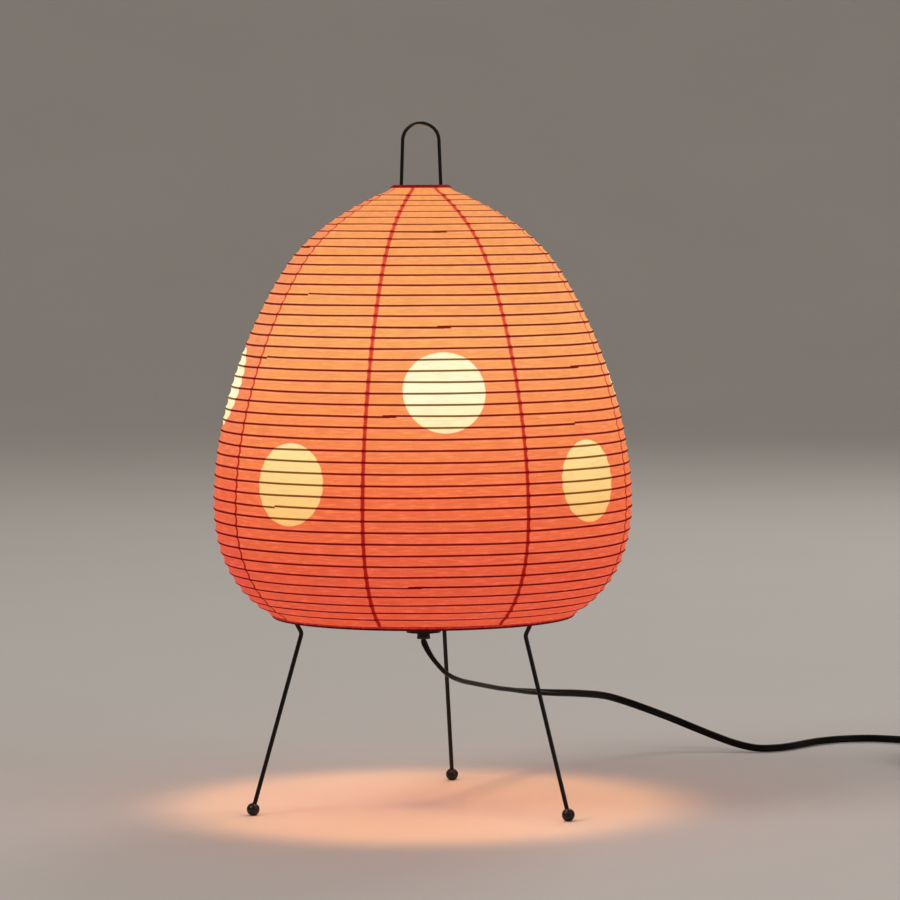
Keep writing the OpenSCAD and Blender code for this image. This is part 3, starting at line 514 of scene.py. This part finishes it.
ROWS_A_PANEL = 5
COLUMNS = 22
RIPPLE_DEPTH, RIPPLE_SHIFT, RIPPLE_WAVES = 0.025, 2.5, (9, 17, 31)
WAY_UNIT = 400.0
chance = np.random.default_rng(8)
ripple_phase = chance.uniform(0, TAU, (HOOPS + 1, 3))
ripple_share = chance.uniform(0.4, 1.0, (HOOPS + 1, 3))


def bow(share):
    """0 at both hoops of a panel and 1 midway between them."""
    return 4 * share * (1 - share)


def paper_rows():
    """Rows of the paper from the top edge to the hem: (way along the paper, sag, panel, share)."""
    stops = [0.0] + [hoop_at(i) for i in range(HOOPS)] + [PAPER_L - HEM_COVER]
    rows = []
    for panel in range(HOOPS + 1):
        for k in range(ROWS_A_PANEL):
            share = k / ROWS_A_PANEL
            way = stops[panel] + share * (stops[panel + 1] - stops[panel])
            rows.append((way, PAPER_SAG * bow(share), panel, share))
    return rows + [(stops[-1], 0.0, HOOPS, 1.0)]


def ripple(turn, panel, share):
    """Small inward waves of the paper between two hoops, in millimetres."""
    waves = sum(
        ripple_share[panel, j] * math.sin(turn * n + ripple_phase[panel, j])
        for j, n in enumerate(RIPPLE_WAVES)
    )
    return -RIPPLE_DEPTH * (waves + RIPPLE_SHIFT) * bow(share)


def gore_mesh(number, material):
    """One gore: an outer and an inner skin with rims, and a UV map of turn and way along the paper."""
    lift = 0.0 if number % 2 == 0 else PAPER_T + GLUE
    half_lap = math.degrees(SEAM_LAP / 2 / WIDEST_R)
    start = math.radians(SEAM_TURN + (number - 1) * 360 / GORES - half_lap)
    gore_turn = math.radians(360 / GORES + 2 * half_lap)
    rows = paper_rows()
    verts, uvs = [], []
    for skin in (lift, lift - PAPER_T):
        for way, sag, panel, share in rows:
            base, out = along(way), outward(way)
            for c in range(COLUMNS + 1):
                turn = start + gore_turn * c / COLUMNS
                r, z = base + out * (skin - sag + ripple(turn, panel, share))
                verts.append((r * math.cos(turn) * MM, r * math.sin(turn) * MM, z * MM))
                uvs.append((turn / TAU, way / WAY_UNIT))
    across = COLUMNS + 1
    half = len(rows) * across
    faces = []
    for i in range(len(rows) - 1):
        for k in range(COLUMNS):
            a = i * across + k
            faces.append((a, a + across, a + across + 1, a + 1))
            faces.append((half + a, half + a + 1, half + a + across + 1, half + a + across))
        for k in (0, COLUMNS):
            a = i * across + k
            rim = (a, half + a, half + a + across, a + across)
            faces.append(rim if k == 0 else rim[::-1])
    for i in (0, len(rows) - 1):
        for k in range(COLUMNS):
            a = i * across + k
            rim = (a, a + 1, half + a + 1, half + a)
            faces.append(rim if i == 0 else rim[::-1])
    obj = new_mesh("paper_gore_%d" % number, verts, faces, material)
    layer = obj.data.uv_layers.new(name="paper")
    for loop in obj.data.loops:
        layer.data[loop.index].uv = uvs[loop.vertex_index]
    smooth_by_angle(obj, degrees=50)
    return obj


# Paper: lit from inside, its light painted as emission. The light's colour goes by height, the
# hoops' painted shadows show as dark lines, the laps at the seams as deep red bands, and each gore
# has a plain pale disc.

GLOW = [
    (0.00, linear(214, 80, 50)),
    (0.12, linear(219, 84, 53)),
    (0.30, linear(234, 108, 60)),
    (0.50, linear(243, 146, 79)),
    (0.66, linear(243, 168, 92)),
    (0.82, linear(243, 164, 89)),
    (1.00, linear(238, 157, 83)),
]
PALE = [
    (0.00, linear(240, 150, 80)),
    (0.25, linear(247, 184, 102)),
    (0.40, linear(252, 216, 140)),
    (0.54, linear(254, 246, 205)),
    (0.75, linear(253, 236, 180)),
    (1.00, linear(252, 205, 130)),
]
GLOW_STRENGTH = 0.95
DYED, UNDYED = linear(236, 128, 66), linear(244, 226, 190)
UNLIT = (0.26, 0.26, 0.26, 1.0)

# Tints of the paper's light, and then of the unlit paper
WARM_PATCH = (1.0, 0.90, 1.18, 1.0)
# A painted highlight, paler and pinker, just beside each hoop
HOOP_HIGHLIGHT = (1.06, 1.08, 1.65, 1.0)
PALE_FIBRE = (1.12, 1.45, 1.8, 1.0)
REDDER_GORE, REDDER_GORE_NUMBER = (0.95, 0.80, 0.97, 1.0), 3.0
LAP_LOW, LAP_HIGH = (0.44, 0.08, 0.11, 1.0), (0.88, 0.29, 0.44, 1.0)
LAP_AT_HOOP, LAP_CORE = (0.52, 0.05, 0.14, 1.0), (0.90, 0.72, 0.80, 1.0)
# Painted shadows of the hoops in the light through the paper: by height, at the crown, in the discs and in
# the laps
HOOP_SHADOW_LOW, HOOP_SHADOW_HIGH = (0.22, 0.004, 0.004, 1.0), (0.21, 0.03, 0.002, 1.0)
HOOP_SHADOW_AT_CROWN = (0.46, 0.26, 0.12, 1.0)
HOOP_SHADOW_IN_DISC, HOOP_SHADOW_IN_LAP = (0.21, 0.115, 0.035, 1.0), (0.42, 0.05, 0.20, 1.0)
LAP_PAPER, HOOP_PAPER = (0.55, 0.16, 0.22, 1.0), (0.08, 0.02, 0.01, 1.0)

# Noises over the sheet: their grain for a turn and for a millimetre of way, detail and roughness
CLOUDS, FIBRES, PATCHES = (40.0, 0.12, 3.0, 0.55), (70.0, 1.0, 3.0, 0.7), (24.0, 0.45, 3.0, 0.6)
HOOP_WANDER, LAP_WANDER = (9.0, 3.1), 0.11
LIGHT_BASE, LIGHT_BY_CLOUD, LIGHT_BY_FIBRE = 0.60, 0.28, 0.52

# Shares of the shade's height between which the tints change
LOWER_PART, CROWN, FIBRE_PART = (0.15, 0.8), (0.86, 0.97), (0.15, 0.65)

# Widths in millimetres: each pair gives where a line starts to fade and where it is gone
HOOP_LINE, SPLICE_LINE, SPLICE_HALF_L = (0.44, 0.80), (0.7, 1.1), (3.6, 5.0)
NEAR_HOOP = (0.7, 2.0)
LAP_CORE_LINE = (0.2, 1.0)
LAP_HALF_W, LAP_MORE_AT_HOOP, LAP_EDGE = 1.15, 0.2, 0.3
HOOP_DRIFT, LAP_SWAY = 0.9, 0.9
SPLICE_STEP, SPLICE_REACH = 0.4, 40.0
DISC_R, DISC_EDGE, DISC_RAGGED = 25.0, 0.35, 0.8
DISC_HIGH, DISC_LOW = 165.0, 222.0

# Hoops whose splice the photograph shows: (hoop, turn, drawn bold). The others are spliced by
# chance, within the turns that it doesn't show or shows only at the shade's right outline.
SPLICES = [
    (6, 0.804, 1.0), (8, 0.583, 1.0), (13, 0.646, 0.0), (16, 0.796, 1.0), (19, 0.617, 0.0),
    (20, 0.925, 1.0), (24, 0.750, 1.0), (25, 0.908, 0.0), (32, 0.656, 0.0), (39, 0.769, 1.0),
]
HIDDEN_FROM, HIDDEN_TURNS, SPLICE_SEED = -0.03, 0.56, 3.7


def splice_of(g, hoop):
    """The turn at which the hoop is spliced, and whether the splice is drawn bold."""
    dice = g.node("TexWhiteNoise", noise_dimensions="1D")
    g.put(g.add(hoop, SPLICE_SEED), dice.inputs["W"])
    splice = g.add(g.mul(dice.outputs["Value"], HIDDEN_TURNS), HIDDEN_FROM)
    bold = g.step(g.math("FRACT", g.mul(dice.outputs["Value"], 7.0)), 0.45, 0.55)
    for number, at, heavy in SPLICES:
        hit = g.same(hoop, float(number))
        splice = g.add(splice, g.mul(hit, g.sub(at, splice)))
        bold = g.add(bold, g.mul(hit, g.sub(heavy, bold)))
    return splice, bold


def hoop_lines(g, turn, way, round_mm):
    """The hoops as dark lines, their painted shadows in the paper's light, and how far away the nearest
    one is, in millimetres.
    """
    count = g.div(g.sub(way, CROWN_STRIP), HOOP_PITCH)
    nearest = g.math("ROUND", g.least(g.most(count, 0.0), HOOPS - 1.0))
    splice, bold = splice_of(g, nearest)
    after = g.math("FRACT", g.add(g.sub(turn, splice), 4.0))
    after_mm, before_mm = g.mul(after, round_mm), g.mul(g.sub(1.0, after), round_mm)
    rise = g.math("EXPONENT", g.mul(after_mm, -1 / SPLICE_REACH))
    drop = g.math("EXPONENT", g.mul(before_mm, -1 / SPLICE_REACH))
    wander = g.sheet_noise(g.mul(turn, HOOP_WANDER[0]), g.mul(nearest, HOOP_WANDER[1]), 1.0)
    drift = g.mul(g.sub(wander, 0.5), HOOP_DRIFT)
    off = g.mul(g.sub(count, nearest), HOOP_PITCH)
    away = g.math("ABSOLUTE", g.add(off, g.add(drift, g.mul(g.sub(rise, drop), SPLICE_STEP))))
    spliced = g.fade(g.least(after_mm, before_mm), *SPLICE_HALF_L)
    thick = g.fade(g.math("ABSOLUTE", g.add(off, drift)), *SPLICE_LINE)
    lines = g.most(g.fade(away, *HOOP_LINE), g.mul(g.mul(thick, spliced), bold))
    return lines, away


def lap_bands(g, turn, way, to_seam, at_hoop):
    """The laps at the seams, and their darker core."""
    uneven = g.sheet_noise(g.mul(way, LAP_WANDER), g.math("ROUND", g.mul(turn, float(GORES))), 2.0)
    edge = g.add(to_seam, g.mul(g.sub(uneven, 0.5), LAP_SWAY))
    half_width = g.add(LAP_HALF_W, g.mul(at_hoop, LAP_MORE_AT_HOOP))
    return g.fade(g.sub(edge, half_width), -LAP_EDGE, LAP_EDGE), g.fade(edge, *LAP_CORE_LINE)


def discs(g, number, across, way, fibre):
    """A disc in the middle of each gore, high and low by turns, with a slightly ragged edge."""
    odd = g.math("MODULO", number, 2.0)
    down = g.sub(way, g.add(g.mul(odd, DISC_HIGH - DISC_LOW), DISC_LOW))
    far = g.math("SQRT", g.add(g.mul(across, across), g.mul(down, down)))
    ragged = g.mul(g.sub(fibre, 0.5), DISC_RAGGED)
    return g.fade(g.add(far, ragged), DISC_R - DISC_EDGE, DISC_R + DISC_EDGE)


def paper_material(name):
    """The shade's dyed paper, drawn by its UV map: the turn, and the way along the paper."""
    g = Graph(name)
    turn, way_share, _ = g.parts(g.node("UVMap", uv_map="paper").outputs[0])
    way = g.mul(way_share, WAY_UNIT)
    x, y, z = g.parts(g.place())
    round_mm = g.mul(g.mul(g.math("SQRT", g.add(g.mul(x, x), g.mul(y, y))), TO_MM), TAU)
    height = g.div(g.sub(g.mul(z, TO_MM), SHADE_BOTTOM), SHADE_TOP - SHADE_BOTTOM)
    up = g.step(height, *LOWER_PART)

    hoops, away = hoop_lines(g, turn, way, round_mm)
    at_hoop = g.fade(away, *NEAR_HOOP)

    # Gores are counted from the first seam, and one whole turn is added to keep the count positive.
    gores = g.add(g.mul(g.sub(turn, SEAM_TURN / 360), GORES), float(GORES))
    number, gore = g.math("FLOOR", gores), g.math("FRACT", gores)
    gore_w = g.div(round_mm, GORES)
    to_seam = g.mul(g.least(gore, g.sub(1.0, gore)), gore_w)
    lap, core = lap_bands(g, turn, way, to_seam, at_hoop)

    cloud, fibre, patch = (
        g.sheet_noise(g.mul(turn, across), g.mul(way, down), detail, rough)
        for across, down, detail, rough in (CLOUDS, FIBRES, PATCHES)
    )
    disc = discs(g, number, g.mul(g.sub(gore, 0.5), gore_w), way, fibre)

    # The light that comes through
    glow = g.tint(g.step(patch, 0.3, 0.7), g.ramp(height, GLOW), WARM_PATCH)
    # A painted highlight beside each hoop, brightening the light there
    beside = g.mul(g.step(away, 0.6, 1.0), g.fade(away, 1.0, 2.2))
    glow = g.tint(g.mul(beside, 0.85), glow, HOOP_HIGHLIGHT)
    pale = g.mul(g.step(fibre, 0.50, 0.66), g.step(height, *FIBRE_PART, 1.0, 0.2))
    glow = g.tint(pale, glow, PALE_FIBRE)
    redder = g.same(g.math("MODULO", number, float(GORES)), REDDER_GORE_NUMBER)
    glow = g.tint(redder, glow, REDDER_GORE)
    glow = g.mix(disc, glow, g.ramp(height, PALE))
    lap_tint = g.mix(g.mul(at_hoop, 0.55), g.mix(up, LAP_LOW, LAP_HIGH), LAP_AT_HOOP)
    glow = g.tint(core, g.tint(lap, glow, lap_tint), LAP_CORE)
    # The hoops' painted shadows darken the light
    hoop_shadow_tint = g.mix(g.step(height, *CROWN), g.mix(up, HOOP_SHADOW_LOW, HOOP_SHADOW_HIGH), HOOP_SHADOW_AT_CROWN)
    hoop_shadow_tint = g.mix(lap, g.mix(disc, hoop_shadow_tint, HOOP_SHADOW_IN_DISC), HOOP_SHADOW_IN_LAP)
    glow = g.tint(hoops, glow, hoop_shadow_tint)
    by_cloud, by_fibre = g.mul(cloud, LIGHT_BY_CLOUD), g.mul(fibre, LIGHT_BY_FIBRE)
    light = g.node("VectorMath", operation="SCALE")
    g.put(glow, light.inputs[0])
    g.put(g.add(LIGHT_BASE, g.add(by_cloud, by_fibre)), light.inputs["Scale"])

    # The paper itself
    paper = g.tint(lap, g.mix(disc, DYED, UNDYED), LAP_PAPER)
    paper = g.tint(hoops, paper, HOOP_PAPER)
    g.set(
        Base_Color=g.tint(1.0, paper, UNLIT),
        Roughness=0.85,
        Emission_Color=light.outputs[0],
        Emission_Strength=GLOW_STRENGTH,
        Specular_IOR_Level=0.08,
    )
    g.bump(g.add(g.mul(fibre, 0.7), g.mul(cloud, 0.3)), 0.12 * MM, 0.6)
    return g.material


shade_paper = paper_material("shade_paper")
for number in range(1, GORES + 1):
    piece = gore_mesh(number, shade_paper)
    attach(piece, "lamp")
    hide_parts("gore_%d" % number)

# The paper's top edge, folded over the top ring as a narrow wavy band, and the hem's paper

# The band's section as (radius, height): from its free edge over the ring, and back inside
RIM_SECTION = [
    (19.5, 385.75), (18.6, 386.25), (18.0, 386.85), (17.3, 387.28), (16.6, 387.42), (15.9, 387.33),
    (15.35, 387.0), (15.05, 386.5), (14.98, 385.8), (15.2, 385.8), (15.26, 386.4), (15.5, 386.83),
    (15.98, 387.12), (16.6, 387.2), (17.2, 387.03), (17.7, 386.66), (18.15, 386.2), (19.4, 385.6),
]
RIM_STEPS, RIM_WAVES = 160, (7, 13, 22, 34)
RIM_FREE_R, RIM_SWAY, RIM_HEAVE, RIM_LIFT = 17.6, 0.30, 0.10, 0.05
RIM_SPAN, RIM_GLOW = (385.6, 387.5), 0.42
# The band's colour by height, darker towards its top: painted shade of the fold
RIM_COLOURS = [(0.0, linear(176, 16, 28)), (0.5, linear(160, 8, 20)), (1.0, linear(138, 6, 16))]
HEM_SPAN, HEM_GLOW = (118.9, 122.3), 0.62
HEM_COLOURS = [
    (0.0, linear(64, 0, 4)), (0.36, linear(78, 0, 6)), (0.45, linear(180, 48, 50)),
    (0.66, linear(190, 58, 56)), (0.74, linear(150, 12, 8)), (1.0, linear(136, 6, 4)),
]
# Painted light and shade of the fold's small creases
CREASE_PAINTED_LIGHT, CREASE_PAINTED_SHADE = (1.15, 1.1, 1.1, 1.0), (0.6, 0.5, 0.55, 1.0)
FOLD_UNLIT = (0.7, 0.7, 0.7, 1.0)
WAVE_STRETCH, WAVE_SCALE, WAVE_SHIFT = (1.0, 1.0, 2.5), 260.0, 0.16
CREASE_STRETCH, CREASE_SCALE = (1.0, 1.0, 0.3), 620.0


def folded_paper(name, span, stops, glow):
    """Doubled dyed paper: its colour and its weak glow go by height in millimetres, with painted light and
    shade at its creases.
    """
    g = Graph(name)
    low, high = span
    z = g.parts(g.place())[2]
    share = g.div(g.sub(g.mul(z, TO_MM), low), high - low)
    wave = g.noise(g.stretched(g.place(), WAVE_STRETCH), WAVE_SCALE, 3.0, 0.6)
    crease_and_shade = g.step(g.noise(g.stretched(g.place(), CREASE_STRETCH), CREASE_SCALE, 3.0, 0.65), 0.35, 0.65)
    colour = g.ramp(g.add(share, g.mul(g.sub(wave, 0.5), WAVE_SHIFT)), stops)
    # The creases' painted light and shade, lighter or darker by the noise
    colour = g.tint(1.0, colour, g.mix(crease_and_shade, CREASE_PAINTED_LIGHT, CREASE_PAINTED_SHADE))
    g.set(
        Base_Color=g.tint(1.0, colour, FOLD_UNLIT),
        Roughness=0.8,
        Emission_Color=colour,
        Emission_Strength=glow,
        Specular_IOR_Level=0.1,
    )
    g.bump(g.add(g.mul(wave, 0.6), g.mul(crease_and_shade, 0.4)), 0.15 * MM, 0.8)
    return g.material


def rim_paper(material):
    """The folded band. It waves most at its free lower edge, outside RIM_FREE_R."""
    waves = np.random.default_rng(21)
    phase = waves.uniform(0, TAU, len(RIM_WAVES))
    sides = len(RIM_SECTION)
    verts, faces = [], []
    for k in range(RIM_STEPS):
        turn = TAU * k / RIM_STEPS
        swell = sum(math.sin(turn * n + phase[j]) for j, n in enumerate(RIM_WAVES)) / len(RIM_WAVES)
        for r, z in RIM_SECTION:
            free = max(0.0, r - RIM_FREE_R)
            r += RIM_SWAY * swell * free
            z += RIM_HEAVE * swell * (1 - min(1.0, free)) + RIM_LIFT
            verts.append((r * math.cos(turn) * MM, r * math.sin(turn) * MM, z * MM))
    for k in range(RIM_STEPS):
        here, there = k * sides, (k + 1) % RIM_STEPS * sides
        for i in range(sides):
            after = (i + 1) % sides
            faces.append((here + i, there + i, there + after, here + after))
    obj = new_mesh("shade_rim_paper", verts, faces, material)
    smooth_by_angle(obj, degrees=60)
    return obj


rim = rim_paper(folded_paper("rim_paper", RIM_SPAN, RIM_COLOURS, RIM_GLOW))
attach(rim, "lamp")
hem_paper = folded_paper("hem_paper", HEM_SPAN, HEM_COLOURS, HEM_GLOW)

# Finishes of the CAD nodes that stay

black_wire = finish_of("black_wire", linear(8, 5, 5), 0.38, coat=0.12, grain=0.02, scale=700.0,
                       Specular_IOR_Level=0.2)
foot_black = finish_of("foot_plastic", linear(9, 7, 7), 0.34, coat=0.12, Specular_IOR_Level=0.3)
plate_black = finish_of("black_plate", linear(8, 6, 6), 0.42, coat=0.08, Specular_IOR_Level=0.2)
brass = finish_of("brass", linear(200, 165, 100), 0.3, metal=1.0)
holder_plastic = finish_of("holder_plastic", linear(222, 214, 198), 0.4, spread=0.04)
ceramic = finish_of("holder_ceramic", linear(232, 228, 220), 0.5, spread=0.03)
core_vinyl = finish_of("core_vinyl", linear(214, 206, 190), 0.45)
plated = finish_of("plated_steel", linear(196, 194, 188), 0.25, metal=1.0, spread=0.05)
bulb_metal = finish_of("bulb_metal", linear(190, 188, 184), 0.3, metal=1.0, spread=0.05)
bulb_black = finish_of("bulb_black", linear(20, 20, 20), 0.3)
bamboo = finish_of("hoop_wood", linear(120, 78, 44), 0.6, spread=0.3, grain=0.05, scale=500.0)
glow_glass = finish_of("bulb_glass", linear(250, 238, 214), 0.45, spread=0.02,
                       Emission_Color=linear(255, 214, 150), Emission_Strength=3.0)
clear_glass = finish_of("clear_glass", linear(235, 235, 235), 0.1, spread=0.02)
rod_glow = finish_of("filament", linear(255, 200, 110), 0.5,
                     Emission_Color=linear(255, 200, 120), Emission_Strength=6.0)

KEPT = {
    black_wire: ["handle_stretcher", "leg_back", "leg_left", "leg_right", "shade_top_ring",
                 "shade_bottom_ring"],
    foot_black: ["foot_back", "foot_left", "foot_right"],
    plate_black: ["hub_plate", "nipple", "lock_nut"],
    brass: ["terminal_screws", "holder_screw_shell", "holder_contact", "switch_contacts"],
    dark_plastic: ["cord_bushing"],
    cord_vinyl: ["inner_flex", "switch_reliefs", "plug_relief"],
    core_vinyl: ["flex_cores"],
    holder_plastic: ["holder_cap", "holder_shell"],
    ceramic: ["holder_insulator"],
    glow_glass: ["bulb_glass"],
    clear_glass: ["bulb_stem"],
    rod_glow: ["bulb_filaments"],
    bulb_metal: ["bulb_cap", "bulb_contact"],
    bulb_black: ["bulb_insulator"],
    hem_paper: ["shade_hem"],
    bamboo: ["hoops_crown", "hoops_shoulder", "hoops_upper", "hoops_middle", "hoops_belly",
             "hoops_lower"],
    plated: ["switch_screws", "plug_blades"],
}
for material, names in KEPT.items():
    for name in names:
        mesh = nodes[name].data
        mesh.materials.clear()
        mesh.materials.append(material)

# Stage, in metres: a plain pale floor and soft studio light

FLOOR_INNER_R, FLOOR_FLAT_R, FLOOR_BEND_R, WALL_H = 0.5, 4.0, 4.0, 3.0
FLOOR_SIDES, BEND_STEPS = 96, 16
LAMP_MIDDLE = (0, 0, 0.2)


def floor_material():
    g = Graph("floor_pale")
    cloud = g.noise(g.place(), 3.0, 3.0)
    g.set(Base_Color=g.mix(cloud, linear(212, 206, 200), linear(217, 212, 206)), Roughness=0.75)
    return g.material


def studio_floor():
    """A round floor that curves up into a plain wall, so that no horizon shows from any side."""
    profile = [(FLOOR_INNER_R, 0.0), (FLOOR_FLAT_R, 0.0)]
    for a in np.linspace(0, math.pi / 2, BEND_STEPS + 1)[1:]:
        profile.append((FLOOR_FLAT_R + FLOOR_BEND_R * math.sin(a), FLOOR_BEND_R * (1 - math.cos(a))))
    profile.append((FLOOR_FLAT_R + FLOOR_BEND_R, FLOOR_BEND_R + WALL_H))
    turns = [TAU * k / FLOOR_SIDES for k in range(FLOOR_SIDES)]
    verts = [(0.0, 0.0, 0.0)]
    for r, z in profile:
        verts += [(r * math.cos(turn), r * math.sin(turn), z) for turn in turns]
    faces = [(0, 1 + k, 1 + (k + 1) % FLOOR_SIDES) for k in range(FLOOR_SIDES)]
    for i in range(len(profile) - 1):
        for k in range(FLOOR_SIDES):
            a, b = 1 + i * FLOOR_SIDES + k, 1 + i * FLOOR_SIDES + (k + 1) % FLOOR_SIDES
            faces.append((a, a + FLOOR_SIDES, b + FLOOR_SIDES, b))
    return new_mesh("floor", verts, faces, floor_material())


studio_floor()


def area_light(name, at, size, power, colour):
    """A round soft light that points at the lamp."""
    data = bpy.data.lights.new(name, "AREA")
    data.shape = "DISK"
    data.size = size
    data.energy = power
    data.color = colour
    obj = link(bpy.data.objects.new(name, data))
    obj.location = at
    obj.rotation_mode = "QUATERNION"
    obj.rotation_quaternion = (Vector(LAMP_MIDDLE) - Vector(at)).to_track_quat("-Z", "Y")


area_light("key", (-1.8, -1.6, 2.4), size=1.6, power=30, colour=(1.0, 0.97, 0.93))
area_light("fill", (2.4, -1.2, 1.5), size=2.0, power=14, colour=(0.95, 0.97, 1.0))
area_light("rim", (0.6, 2.4, 2.0), size=1.4, power=16, colour=(1.0, 0.98, 0.96))

# The bulb's own light, a little wider than its glass, whose glowing and clear parts cast no shadow

BULB_LIGHT_Z, BULB_LIGHT_R = 0.276, 0.034

bulb_data = bpy.data.lights.new("bulb_light", "POINT")
bulb_data.energy = 2.7
bulb_data.color = (1.0, 0.45, 0.15)
bulb_data.shadow_soft_size = BULB_LIGHT_R
bulb_light = link(bpy.data.objects.new("bulb_light", bulb_data))
bulb_light.location = (0, 0, BULB_LIGHT_Z)
for name in ("bulb_glass", "bulb_stem", "bulb_filaments"):
    nodes[name].visible_shadow = False

world = bpy.data.worlds.new("studio")
world.use_nodes = True
background = world.node_tree.nodes["Background"]
background.inputs["Color"].default_value = (0.62, 0.60, 0.58, 1.0)
background.inputs["Strength"].default_value = 0.55
scene.world = world
scene.view_settings.view_transform = "Standard"
